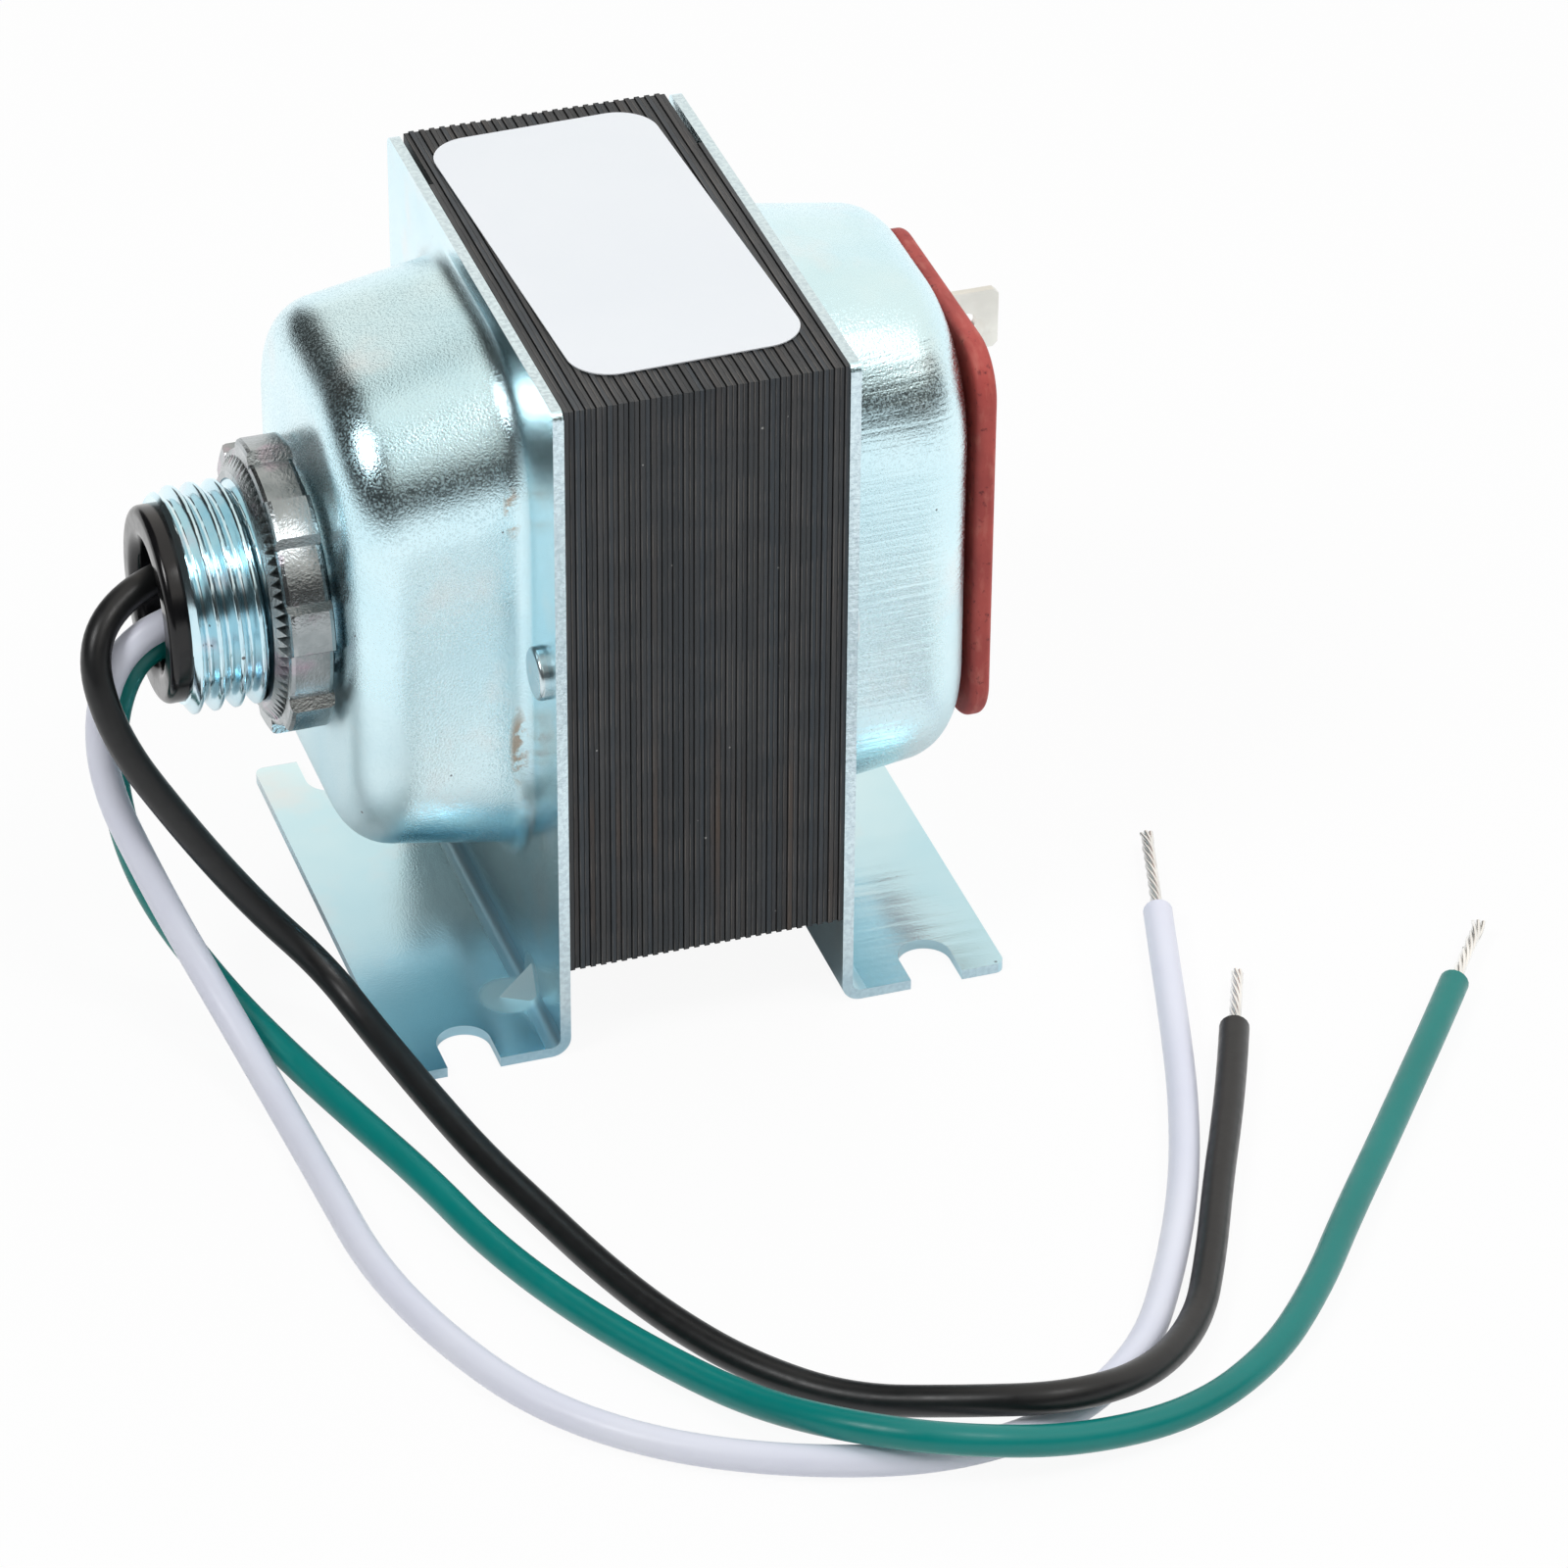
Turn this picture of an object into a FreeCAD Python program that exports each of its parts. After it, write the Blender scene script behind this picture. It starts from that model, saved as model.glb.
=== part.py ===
"""Doorbell transformer: laminated core between two drawn end bells, conduit hub and leads.

Frame: X along the lamination stack (conduit hub towards -X, push-on tabs towards +X),
Y across the depth (front is -Y), Z up, feet on z = 0, origin in the middle of the feet.
All lengths are millimetres.
"""
import math
import os

import FreeCAD
import Part

V = FreeCAD.Vector
OUT = "parts"

# Core
PLATE_T = 0.51
PLATES = 53
CORE_W = PLATE_T * PLATES
CORE_X = CORE_W / 2
CORE_H = 61.0
CORE_Z0 = 9.5
CORE_Z1 = CORE_Z0 + CORE_H
CORE_ZC = CORE_Z0 + CORE_H / 2
CORE_Y = 27.0
YOKE_W = 10.5
JOINT_Y = CORE_Y - YOKE_W
LEG_H = CORE_H / 6
CENTRE_LEG_H = 2 * LEG_H
WINDOW_H = (CORE_H - CENTRE_LEG_H) / 2 - LEG_H
PLATE_STEP = 0.10

# End bells
SHEET = 1.05
FLANGE_Y = CORE_Y + 0.1
FLANGE_IN = CORE_X
FLANGE_OUT = FLANGE_IN + SHEET
BEND_R = 0.85
CORNER_R = 1.0
FOOT_L = 15.5
FOOT_X = FLANGE_OUT + FOOT_L
SLOT_INSET = 7.0
SLOT_X = FOOT_X - SLOT_INSET
SLOT_W = 5.2
SLOT_DEPTH = 3.5
SLOT_Y = FLANGE_Y - SLOT_DEPTH
DOME_RISE = 0.2
DOME_ZC = CORE_ZC + DOME_RISE
DOME_MARGIN_Y = 8.2
DOME_Y = CORE_Y - DOME_MARGIN_Y
DRAFT_Y = math.radians(1.0)
ROOT_R = 1.0
DART_Y = -17.7
DART_W = 4.4
DART_LEG = 3.9

# Left bell, the deeper one, carries the hub
LEFT_DEPTH = 17.5
FACE_X = CORE_X + LEFT_DEPTH
LEFT_MARGIN_Z = 2.7
LEFT_CORNER = 14.5
LEFT_DRAFT = math.radians(13.0)
LEFT_EDGE_R = 5.2

# Right bell carries the terminal board on two raised seats
RIGHT_DEPTH = 16.1
RIGHT_FACE_X = CORE_X + RIGHT_DEPTH
RIGHT_MARGIN_Z = 1.8
RIGHT_CORNER = 16.0
RIGHT_DRAFT = math.radians(11.5)
RIGHT_EDGE_R = 5.5
SEAT_H = 0.8
SEAT_R = 3.8
SEAT_TOP_R = 3.1

# Rivets through the stack
RIVET_Y = CORE_Y - 4.2
RIVET_Z = CORE_ZC + 0.5
RIVET_R = 1.8
RIVET_HEAD_R = 2.55
RIVET_HEAD_T = 0.95

# Conduit hub
HUB_Z = CORE_ZC + 0.1
THREAD_R = 10.75
PITCH_R = THREAD_R - 0.2
NIPPLE_OUT = 13.3
NIPPLE_END = FACE_X + NIPPLE_OUT
NIPPLE_WALL = 1.95
NIPPLE_BORE = THREAD_R - NIPPLE_WALL
HUB_HOLE_R = THREAD_R + 0.15
COLLAR_R = THREAD_R + 1.75
COLLAR_T = 1.0
LUG_T = 0.8
LUG_R = COLLAR_R + 0.5
BARREL_R = 2.2
BARREL_L = 5.2
NUT_WALL = 3.55
NUT_R = THREAD_R + NUT_WALL
NUT_GAP = 0.6
NUT_T = 4.3
NUT_IN = FACE_X + NUT_GAP
NUT_OUT = NUT_IN + NUT_T
NUT_LUGS = 8
NUT_LUG_RISE = 1.1
NUT_LUG_HALF = math.radians(8.0)
NUT_LUG_FOOT_HALF = math.radians(11.0)
NUT_LUG_TURN = math.radians(12.0)
NUT_TEETH = 72
TOOTH_H = 0.95
TOOTH_X = NUT_OUT + TOOTH_H
TOOTH_R = NUT_R - NUT_LUG_RISE - 0.6
TOOTH_TOP_R = THREAD_R + 0.45
TOOTH_ROOT_R = TOOTH_R - 1.1
THREAD_FREE_X = TOOTH_X + 0.15
BUSH_R = NIPPLE_BORE + 0.6
BUSH_T = 1.9
BUSH_WALL = 2.8
BUSH_BORE = NIPPLE_BORE - BUSH_WALL
BUSH_BARREL_L = 8.3
BUSH_BARREL_END = NIPPLE_END - BUSH_BARREL_L

# Terminal board and tabs
BOARD_X = RIGHT_FACE_X + SEAT_H
BOARD_T = 2.0
BOARD_Y = 14.9
BOARD_Z = 20.85
BOARD_R = 5.2
BOARD_EDGE_R = 0.7
OPENING_Y = 9.0
OPENING_Z = 13.0
OPENING_R = 3.0
EYELET_Z = 16.2
EYELET_R = 1.5
EYELET_HEAD_R = 2.5
TAB_W = 6.35
TAB_T = 0.8
TAB_Y = 9.0
TAB_L = 8.5
TAB_NOSE = 0.5
TAB_END = BOARD_X + BOARD_T + TAB_L
TAB_DZ = 10.7
TAB_RIVET_Y = 4.6
TAB_RIVET_R = 1.2
TAB_HEAD_R = 2.1
TAB_HEAD_T = 0.6

# Coil, filling the window of the core but for a last gap
BOBBIN_GAP = 0.2
BOBBIN_WALL = 1.0
BOBBIN_FLANGE_T = 1.0
COIL_Y = JOINT_Y - BOBBIN_FLANGE_T - BOBBIN_GAP
BOBBIN_LIP = 0.9
WINDOW_GAP = 1.6
COIL_BUILD = WINDOW_H - BOBBIN_GAP - BOBBIN_WALL - BOBBIN_LIP - WINDOW_GAP
WRAP_T = 0.3
TAPE_T = 0.4
PRIMARY_SHARE = 0.6
PRIMARY_BUILD = PRIMARY_SHARE * (COIL_BUILD - WRAP_T - TAPE_T)
SECONDARY_BUILD = COIL_BUILD - WRAP_T - TAPE_T - PRIMARY_BUILD
TUBE_X = CORE_X + BOBBIN_GAP
TUBE_Z = CENTRE_LEG_H / 2 + BOBBIN_GAP
WIND_X = TUBE_X + BOBBIN_WALL
WIND_Z = TUBE_Z + BOBBIN_WALL
COIL_X = WIND_X + COIL_BUILD
TAIL_R = 0.8

# Label
LABEL_W = 22.2
LABEL_L = 46.2
LABEL_R = 4.0
LABEL_T = 0.12
LABEL_TURN = 1.9
LABEL_X = -0.1
LABEL_Y = 1.2

# Leads
LEAD_R = 1.45
STRAND_R = 0.6
FLOOR = LEAD_R + 0.05

LEADS = {
    "black_lead": [
        (-21.0, 3.4, 43.0), (-27.5, 2.8, 43.1), (-37.0, 1.8, 43.2), (-47.3, -0.9, 43.5),
        (-53.1, -5.2, 40.3), (-51.9, -8.4, 31.9), (-46.0, -10.4, 21.7), (-39.8, -12.3, 12.5),
        (-34.2, -15.0, 6.3), (-31.5, -21.6, 3.2), (-29.6, -31.0, 2.8), (-26.9, -41.7, 1.8),
        (-23.9, -51.4, FLOOR), (-21.2, -60.8, FLOOR), (-17.7, -70.1, FLOOR), (-12.8, -78.9, FLOOR),
        (-5.8, -86.3, 1.6), (2.3, -92.4, 4.2), (10.9, -96.0, 5.2), (19.9, -92.8, 3.2),
        (27.4, -85.3, FLOOR), (32.2, -76.1, FLOOR), (36.5, -66.7, FLOOR), (40.9, -57.7, FLOOR),
        (44.5, -49.9, FLOOR), (46.9, -44.3, FLOOR)],
    "white_lead": [
        (-21.0, -4.6, 40.6), (-29.8, -4.0, 40.5), (-41.3, -3.4, 41.4), (-50.6, -3.8, 38.4),
        (-53.1, -5.0, 26.9), (-48.6, -9.6, 14.2), (-44.5, -18.6, 5.6), (-42.2, -29.8, 1.6),
        (-41.4, -42.1, FLOOR), (-40.7, -54.7, FLOOR), (-37.5, -66.8, FLOOR), (-32.3, -78.1, FLOOR),
        (-24.0, -86.8, FLOOR), (-12.8, -92.9, FLOOR), (-0.2, -96.4, FLOOR), (11.7, -94.5, FLOOR),
        (21.5, -87.5, FLOOR), (28.0, -76.9, FLOOR), (33.7, -65.5, FLOOR), (38.2, -53.6, FLOOR),
        (41.8, -41.7, FLOOR), (44.7, -31.5, FLOOR), (46.8, -24.2, FLOOR)],
    "green_lead": [
        (-26.4, -1.5, 22.5), (-26.4, -1.5, 29.0), (-26.6, -1.5, 36.4), (-35.8, -1.7, 36.6),
        (-46.3, -2.1, 37.9), (-50.0, -1.7, 32.1), (-50.7, -0.6, 21.4), (-49.1, -5.5, 12.1),
        (-43.8, -13.4, 4.6), (-39.4, -22.3, 1.6), (-36.0, -32.9, FLOOR), (-32.5, -43.7, FLOOR),
        (-29.8, -54.4, FLOOR), (-25.8, -64.5, FLOOR), (-20.6, -74.3, FLOOR), (-14.5, -84.2, 2.0),
        (-8.3, -93.5, 4.8), (0.0, -98.7, 5.2), (11.0, -98.9, 2.6), (22.5, -97.2, FLOOR),
        (32.1, -91.7, FLOOR), (39.5, -83.7, FLOOR), (46.0, -74.8, FLOOR), (53.1, -65.7, FLOOR),
        (59.8, -56.9, FLOOR), (65.6, -49.3, FLOOR), (69.6, -43.9, FLOOR)],
}
STRIPPED = {"black_lead": 8.9, "white_lead": 13.1, "green_lead": 10.1}


def box(x0, x1, y0, y1, z0, z1):
    return Part.makeBox(x1 - x0, y1 - y0, z1 - z0, V(x0, y0, z0))


def rod(radius, x0, x1, y, z):
    return Part.makeCylinder(radius, x1 - x0, V(x0, y, z), V(1, 0, 0))


def revolved(profile, z):
    """Turn a closed (x, r) outline round the line y = 0 at height z."""
    wire = Part.makePolygon([V(x, 0, z + r) for x, r in profile + profile[:1]])
    return Part.Face(wire).revolve(V(0, 0, z), V(1, 0, 0), 360)


def rounded_wire(x, cy, cz, hy, hz, r):
    """Rounded rectangle in the plane of constant x."""
    k = r * (1 - math.sqrt(0.5))
    edges = []
    corners = [(hy, hz), (-hy, hz), (-hy, -hz), (hy, -hz)]
    last = None
    first = None
    for i, (ay, az) in enumerate(corners):
        sy = 1 if ay > 0 else -1
        sz = 1 if az > 0 else -1
        on_z = V(x, cy + ay - sy * r, cz + az)
        on_y = V(x, cy + ay, cz + az - sz * r)
        mid = V(x, cy + ay - sy * k, cz + az - sz * k)
        start, end = (on_y, on_z) if i % 2 == 0 else (on_z, on_y)
        if last is None:
            first = start
        else:
            edges.append(Part.LineSegment(last, start).toShape())
        edges.append(Part.Arc(start, mid, end).toShape())
        last = end
    edges.append(Part.LineSegment(last, first).toShape())
    return Part.Wire(edges)


def rounded_plate(x0, x1, cy, cz, hy, hz, r):
    return Part.Face(rounded_wire(x0, cy, cz, hy, hz, r)).extrude(V(x1 - x0, 0, 0))


def edges_at_x(shape, x):
    return [e for e in shape.Edges if all(abs(v.X - x) < 1e-4 for v in e.Vertexes)
            and abs(e.CenterOfMass.x - x) < 1e-4]


def dome(inset, face_x, margin_z, corner, draft, edge_r):
    """Drawn dome on the +X side as a closed solid, its skin set in by inset."""
    x0 = FLANGE_IN - 1.0 if inset else FLANGE_IN
    x1 = face_x - inset
    wires = []
    for x in (x0, x1):
        run = x - FLANGE_OUT
        hy = DOME_Y - inset - run * math.tan(DRAFT_Y)
        hz = CORE_H / 2 - margin_z - inset - run * math.tan(draft)
        r = (corner - inset) * (1 - 0.12 * run / (face_x - FLANGE_OUT))
        wires.append(rounded_wire(x, 0, DOME_ZC, hy, hz, r))
    solid = Part.makeLoft(wires, True, True)
    return solid.makeFillet(edge_r - inset, edges_at_x(solid, x1))


def flange_and_foot():
    """The flat flange and the foot turned out from it, as one bent strip."""
    out_r = BEND_R + SHEET
    cx = FLANGE_IN + out_r
    cz = out_r
    s = math.sqrt(0.5)
    pts = [V(FLANGE_IN, 0, CORE_Z1), V(FLANGE_OUT, 0, CORE_Z1), V(FLANGE_OUT, 0, cz),
           V(cx, 0, SHEET), V(FOOT_X, 0, SHEET), V(FOOT_X, 0, 0), V(cx, 0, 0), V(FLANGE_IN, 0, cz)]
    inner = Part.Arc(pts[2], V(cx - BEND_R * s, 0, cz - BEND_R * s), pts[3]).toShape()
    outer = Part.Arc(pts[6], V(cx - out_r * s, 0, cz - out_r * s), pts[7]).toShape()
    line = [Part.LineSegment(a, b).toShape() for a, b in
            ((pts[0], pts[1]), (pts[1], pts[2]), (pts[3], pts[4]), (pts[4], pts[5]),
             (pts[5], pts[6]), (pts[7], pts[0]))]
    wire = Part.Wire([line[0], line[1], inner, line[2], line[3], line[4], outer, line[5]])
    strip = Part.Face(wire).extrude(V(0, 2 * FLANGE_Y, 0))
    strip.translate(V(0, -FLANGE_Y, 0))
    rounds = []
    for e in strip.Edges:
        c = e.CenterOfMass
        if abs(abs(c.y) - FLANGE_Y) > 1e-4:
            continue
        top = abs(c.z - CORE_Z1) < 1e-4 and abs(e.Length - SHEET) < 0.2
        tip = abs(c.x - FOOT_X) < 1e-4 and abs(e.Length - SHEET) < 0.2
        if top or tip:
            rounds.append(e)
    strip = strip.makeFillet(CORNER_R, rounds)
    for side in (-1, 1):
        y_arc = side * SLOT_Y
        y_out = side * (FLANGE_Y + 1)
        slot = box(SLOT_X - SLOT_W / 2, SLOT_X + SLOT_W / 2, min(y_arc, y_out),
                   max(y_arc, y_out), -1, SHEET + 1)
        round_end = Part.makeCylinder(SLOT_W / 2, SHEET + 2, V(SLOT_X, y_arc, -1))
        strip = strip.cut(slot.fuse(round_end))
    return strip


def bell(form):
    """One drawn end bell, with its rivet holes but no hub or board opening yet."""
    body = flange_and_foot().fuse(dome(0.0, *form)).removeSplitter()
    reach = CORE_H / 2 - form[1] + 0.5
    root = [e for e in edges_at_x(body, FLANGE_OUT)
            if abs(e.CenterOfMass.y) < DOME_Y + 0.5 and abs(e.CenterOfMass.z - DOME_ZC) < reach
            and e.CenterOfMass.z > BEND_R + 2 * SHEET]
    body = body.makeFillet(ROOT_R, root)
    body = body.cut(dome(SHEET, *form))
    for side in (-1, 1):
        body = body.cut(rod(RIVET_R, FLANGE_IN - 1, FLANGE_OUT + 1, side * RIVET_Y, RIVET_Z))
    return body


def mirrored(shape):
    return shape.mirror(V(0, 0, 0), V(1, 0, 0))


def dart():
    """Pressed gusset in the bend of the left foot, near its front."""
    x = -FLANGE_OUT + 0.3
    z = SHEET - 0.3
    up = V(x, DART_Y, z + DART_LEG)
    tip = V(x - DART_LEG, DART_Y, z)
    a = V(x, DART_Y - DART_W / 2, z)
    b = V(x, DART_Y + DART_W / 2, z)
    faces = [Part.Face(Part.makePolygon(list(p) + [p[0]])) for p in
             ((a, b, up), (a, tip, b), (a, up, tip), (b, tip, up))]
    solid = Part.Solid(Part.Shell(faces))
    if solid.Volume < 0:
        solid.reverse()
    return solid


def left_bell():
    body = mirrored(bell((FACE_X, LEFT_MARGIN_Z, LEFT_CORNER, LEFT_DRAFT, LEFT_EDGE_R)))
    body = body.cut(rod(HUB_HOLE_R, -FACE_X - 1, -FACE_X + SHEET + 1, 0, HUB_Z))
    return body.fuse(dart())


def right_bell():
    body = bell((RIGHT_FACE_X, RIGHT_MARGIN_Z, RIGHT_CORNER, RIGHT_DRAFT, RIGHT_EDGE_R))
    body = body.cut(rounded_plate(RIGHT_FACE_X - SHEET - 1, RIGHT_FACE_X + 1, 0, DOME_ZC,
                                  OPENING_Y, OPENING_Z, OPENING_R))
    for side in (-1, 1):
        z = DOME_ZC + side * EYELET_Z
        slope = (SEAT_R - SEAT_TOP_R) / SEAT_H
        seat = Part.makeCone(SEAT_R + 0.5 * slope, SEAT_TOP_R, SEAT_H + 0.5,
                             V(RIGHT_FACE_X - 0.5, 0, z), V(1, 0, 0))
        body = body.fuse(seat)
        dimple = Part.makeCone(SEAT_R - 0.7 + slope, SEAT_TOP_R - 0.7, SEAT_H + 1,
                               V(RIGHT_FACE_X - SHEET - 1, 0, z), V(1, 0, 0))
        body = body.cut(dimple)
        body = body.cut(rod(EYELET_R, RIGHT_FACE_X - SHEET - 1, BOARD_X + 1, 0, z))
    return body


def plate_x(i):
    x0 = -CORE_X + i * PLATE_T
    return x0, x0 + PLATE_T


def plate_z(i):
    low = 0.0 if i % 2 == 0 else PLATE_STEP
    return CORE_Z0 + low, CORE_Z1 - low


def plate_y(i):
    return CORE_Y - (0.0 if i % 2 == 0 else PLATE_STEP)


def stepped_leg(top):
    """An outer leg of the stack: plates alternate in height along its outer side."""
    inner = CORE_Z1 - LEG_H if top else CORE_Z0 + LEG_H
    pts = [V(-CORE_X, -JOINT_Y, inner)]
    for i in range(PLATES):
        x0, x1 = plate_x(i)
        z = plate_z(i)[1] if top else plate_z(i)[0]
        pts.append(V(x0, -JOINT_Y, z))
        pts.append(V(x1, -JOINT_Y, z))
    pts.append(V(CORE_X, -JOINT_Y, inner))
    face = Part.Face(Part.makePolygon(pts + [pts[0]]))
    return face.extrude(V(0, 2 * JOINT_Y, 0))


def yoke(i, side):
    """The bar of plate i on one side: an E's yoke or the I that closes it."""
    x0, x1 = plate_x(i)
    z0, z1 = plate_z(i)
    y = side * plate_y(i)
    joint = side * JOINT_Y
    bar = box(x0, x1, min(y, joint), max(y, joint), z0, z1)
    return bar.cut(rod(RIVET_R, x0 - 1, x1 + 1, side * RIVET_Y, RIVET_Z))


def e_laminations():
    legs = [stepped_leg(True), stepped_leg(False),
            box(-CORE_X, CORE_X, -JOINT_Y, JOINT_Y, CORE_ZC - CENTRE_LEG_H / 2,
                CORE_ZC + CENTRE_LEG_H / 2)]
    yokes = [yoke(i, -1 if i % 2 == 0 else 1) for i in range(PLATES)]
    return legs[0].multiFuse(legs[1:] + yokes)


def i_front():
    return [yoke(i, -1) for i in range(1, PLATES, 2)]


def i_back():
    return [yoke(i, 1) for i in range(2, PLATES - 1, 2)]


def stack_rivet(side):
    y = side * RIVET_Y
    body = rod(RIVET_R, -FLANGE_OUT, FLANGE_OUT, y, RIVET_Z)
    for s in (-1, 1):
        x0 = FLANGE_OUT if s > 0 else -FLANGE_OUT - RIVET_HEAD_T
        head = rod(RIVET_HEAD_R, x0, x0 + RIVET_HEAD_T, y, RIVET_Z)
        rim = edges_at_x(head, s * (FLANGE_OUT + RIVET_HEAD_T))
        body = body.fuse(head.makeFillet(0.45, rim))
    return body


def hub_nipple():
    collar_x = -(FACE_X - SHEET - LUG_T)
    end = -NIPPLE_END
    profile = [(collar_x + COLLAR_T, NIPPLE_BORE), (collar_x + COLLAR_T, COLLAR_R),
               (collar_x, COLLAR_R), (collar_x, PITCH_R), (-THREAD_FREE_X, PITCH_R),
               (-THREAD_FREE_X, THREAD_R), (end + 0.6, THREAD_R), (end, THREAD_R - 0.6),
               (end, NIPPLE_BORE)]
    return revolved(profile, HUB_Z)


def ground_lug():
    """Ring lug clamped under the nipple's collar, its crimp barrel turned down."""
    x0 = -(FACE_X - SHEET)
    x1 = x0 + LUG_T
    lead = LEADS["green_lead"][0]
    ring = rod(LUG_R, x0, x1, 0, HUB_Z)
    z0 = lead[2] - 0.9
    tongue = box(x0, x1, lead[1] - BARREL_R, lead[1] + BARREL_R, z0, HUB_Z - THREAD_R - 0.25)
    bridge = box(x0, lead[0] - 1.0, lead[1] - 1.5, lead[1] + 1.5, z0, z0 + BARREL_L / 2)
    barrel = Part.makeCylinder(BARREL_R, BARREL_L, V(lead[0], lead[1], z0))
    body = ring.multiFuse([tongue, bridge, barrel])
    body = body.cut(rod(THREAD_R + 0.1, x0 - 1, x1 + 1, 0, HUB_Z))
    return body.cut(Part.makeCylinder(LEAD_R, BARREL_L + 2, V(lead[0], lead[1], z0 - 1)))


def rim_turn(radius):
    """The nut's rim turned at this radius, its two outer corners eased."""
    bore = PITCH_R
    profile = [(-NUT_IN, bore), (-NUT_IN, radius - 0.5), (-NUT_IN - 0.15, radius - 0.15),
               (-NUT_IN - 0.5, radius), (-NUT_OUT + 0.5, radius), (-NUT_OUT + 0.15, radius - 0.15),
               (-NUT_OUT, radius - 0.5), (-NUT_OUT, bore)]
    return revolved(profile, HUB_Z)


def locknut():
    """Die-cast conduit locknut: a rim with driving lugs and a cone of fine teeth."""
    body = rim_turn(NUT_R - NUT_LUG_RISE)
    foot_r = NUT_R - NUT_LUG_RISE
    foot = NUT_LUG_FOOT_HALF
    head = NUT_LUG_HALF
    sectors = []
    for k in range(NUT_LUGS):
        a = math.pi - NUT_LUG_TURN - k * 2 * math.pi / NUT_LUGS
        outline = ((PITCH_R + 0.5, -foot), (foot_r, -foot), (NUT_R, -head), (NUT_R + 1, -head),
                   (NUT_R + 1, head), (NUT_R, head), (foot_r, foot), (PITCH_R + 0.5, foot))
        pts = [V(-NUT_OUT - 1, r * math.cos(a + turn), HUB_Z + r * math.sin(a + turn))
               for r, turn in outline]
        sectors.append(Part.Face(Part.makePolygon(pts + [pts[0]])).extrude(V(NUT_T + 2, 0, 0)))
    body = body.fuse(rim_turn(NUT_R).common(sectors[0].multiFuse(sectors[1:])))
    star = []
    for k in range(2 * NUT_TEETH):
        a = math.pi * k / NUT_TEETH
        r = TOOTH_R if k % 2 == 0 else TOOTH_ROOT_R
        star.append(V(-NUT_OUT, r * math.cos(a), HUB_Z + r * math.sin(a)))
    teeth = Part.Face(Part.makePolygon(star + [star[0]])).extrude(V(NUT_OUT - TOOTH_X, 0, 0))
    cone = Part.makeCone(TOOTH_R, TOOTH_TOP_R, TOOTH_X - NUT_OUT, V(-NUT_OUT, 0, HUB_Z), V(-1, 0, 0))
    return body.fuse(teeth.common(cone).cut(rod(PITCH_R, -TOOTH_X - 1, -NUT_OUT + 1, 0, HUB_Z)))


def hub_bushing():
    """Black insulating bushing pressed into the nipple, with a rounded mouth."""
    end = -NIPPLE_END - BUSH_T
    profile = [(-BUSH_BARREL_END, BUSH_BORE), (-BUSH_BARREL_END, NIPPLE_BORE),
               (-NIPPLE_END, NIPPLE_BORE), (-NIPPLE_END, BUSH_R), (end, BUSH_R), (end, BUSH_BORE)]
    body = revolved(profile, HUB_Z)
    body = body.makeFillet(0.7, edges_at_x(body, end))
    return body


def terminal_board():
    x0 = BOARD_X
    x1 = BOARD_X + BOARD_T
    body = rounded_plate(x0, x1, 0, DOME_ZC, BOARD_Y, BOARD_Z, BOARD_R)
    body = body.makeFillet(BOARD_EDGE_R, edges_at_x(body, x0) + edges_at_x(body, x1))
    for side in (-1, 1):
        body = body.cut(rod(EYELET_R, x0 - 1, x1 + 1, 0, DOME_ZC + side * EYELET_Z))
        body = body.cut(rod(TAB_RIVET_R, x0 - 1, x1 + 1, TAB_RIVET_Y, DOME_ZC + side * TAB_DZ))
    return body


def board_eyelet(side):
    z = DOME_ZC + side * EYELET_Z
    x0 = BOARD_X - SHEET
    x1 = BOARD_X + BOARD_T
    body = rod(EYELET_R, x0, x1, 0, z)
    outer = rod(EYELET_HEAD_R, x1, x1 + 0.5, 0, z)
    body = body.fuse(outer.makeFillet(0.3, edges_at_x(outer, x1 + 0.5)))
    body = body.fuse(rod(EYELET_HEAD_R - 0.3, x0 - 0.5, x0, 0, z))
    return body.cut(rod(EYELET_R - 0.4, x0 - 2, x1 + 2, 0, z))


def tab(side):
    """Push-on tab with a foot turned flat on the board."""
    z = DOME_ZC + side * TAB_DZ
    x0 = BOARD_X + BOARD_T
    h = TAB_W / 2
    y0 = TAB_Y - TAB_T / 2
    pts = [V(x0, y0, z - h), V(TAB_END - TAB_NOSE, y0, z - h), V(TAB_END, y0, z - h + TAB_NOSE),
           V(TAB_END, y0, z + h - TAB_NOSE), V(TAB_END - TAB_NOSE, y0, z + h), V(x0, y0, z + h)]
    blade = Part.Face(Part.makePolygon(pts + [pts[0]])).extrude(V(0, TAB_T, 0))
    dimple = Part.makeCylinder(0.9, TAB_T + 2, V(TAB_END - 3.2, y0 - 1, z), V(0, 1, 0))
    foot = box(x0, x0 + TAB_T, 1.2, TAB_Y + TAB_T / 2, z - h, z + h)
    body = blade.cut(dimple).fuse(foot)
    return body.cut(rod(TAB_RIVET_R, x0 - 1, x0 + TAB_T + 1, TAB_RIVET_Y, z))


def tab_rivet(side):
    z = DOME_ZC + side * TAB_DZ
    x0 = BOARD_X
    x1 = BOARD_X + BOARD_T + TAB_T
    body = rod(TAB_RIVET_R, x0, x1, TAB_RIVET_Y, z)
    head = rod(TAB_HEAD_R, x1, x1 + TAB_HEAD_T, TAB_RIVET_Y, z)
    body = body.fuse(head.makeFillet(0.3, edges_at_x(head, x1 + TAB_HEAD_T)))
    return body.fuse(rod(TAB_HEAD_R, x0 - TAB_HEAD_T, x0, TAB_RIVET_Y, z))


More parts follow.
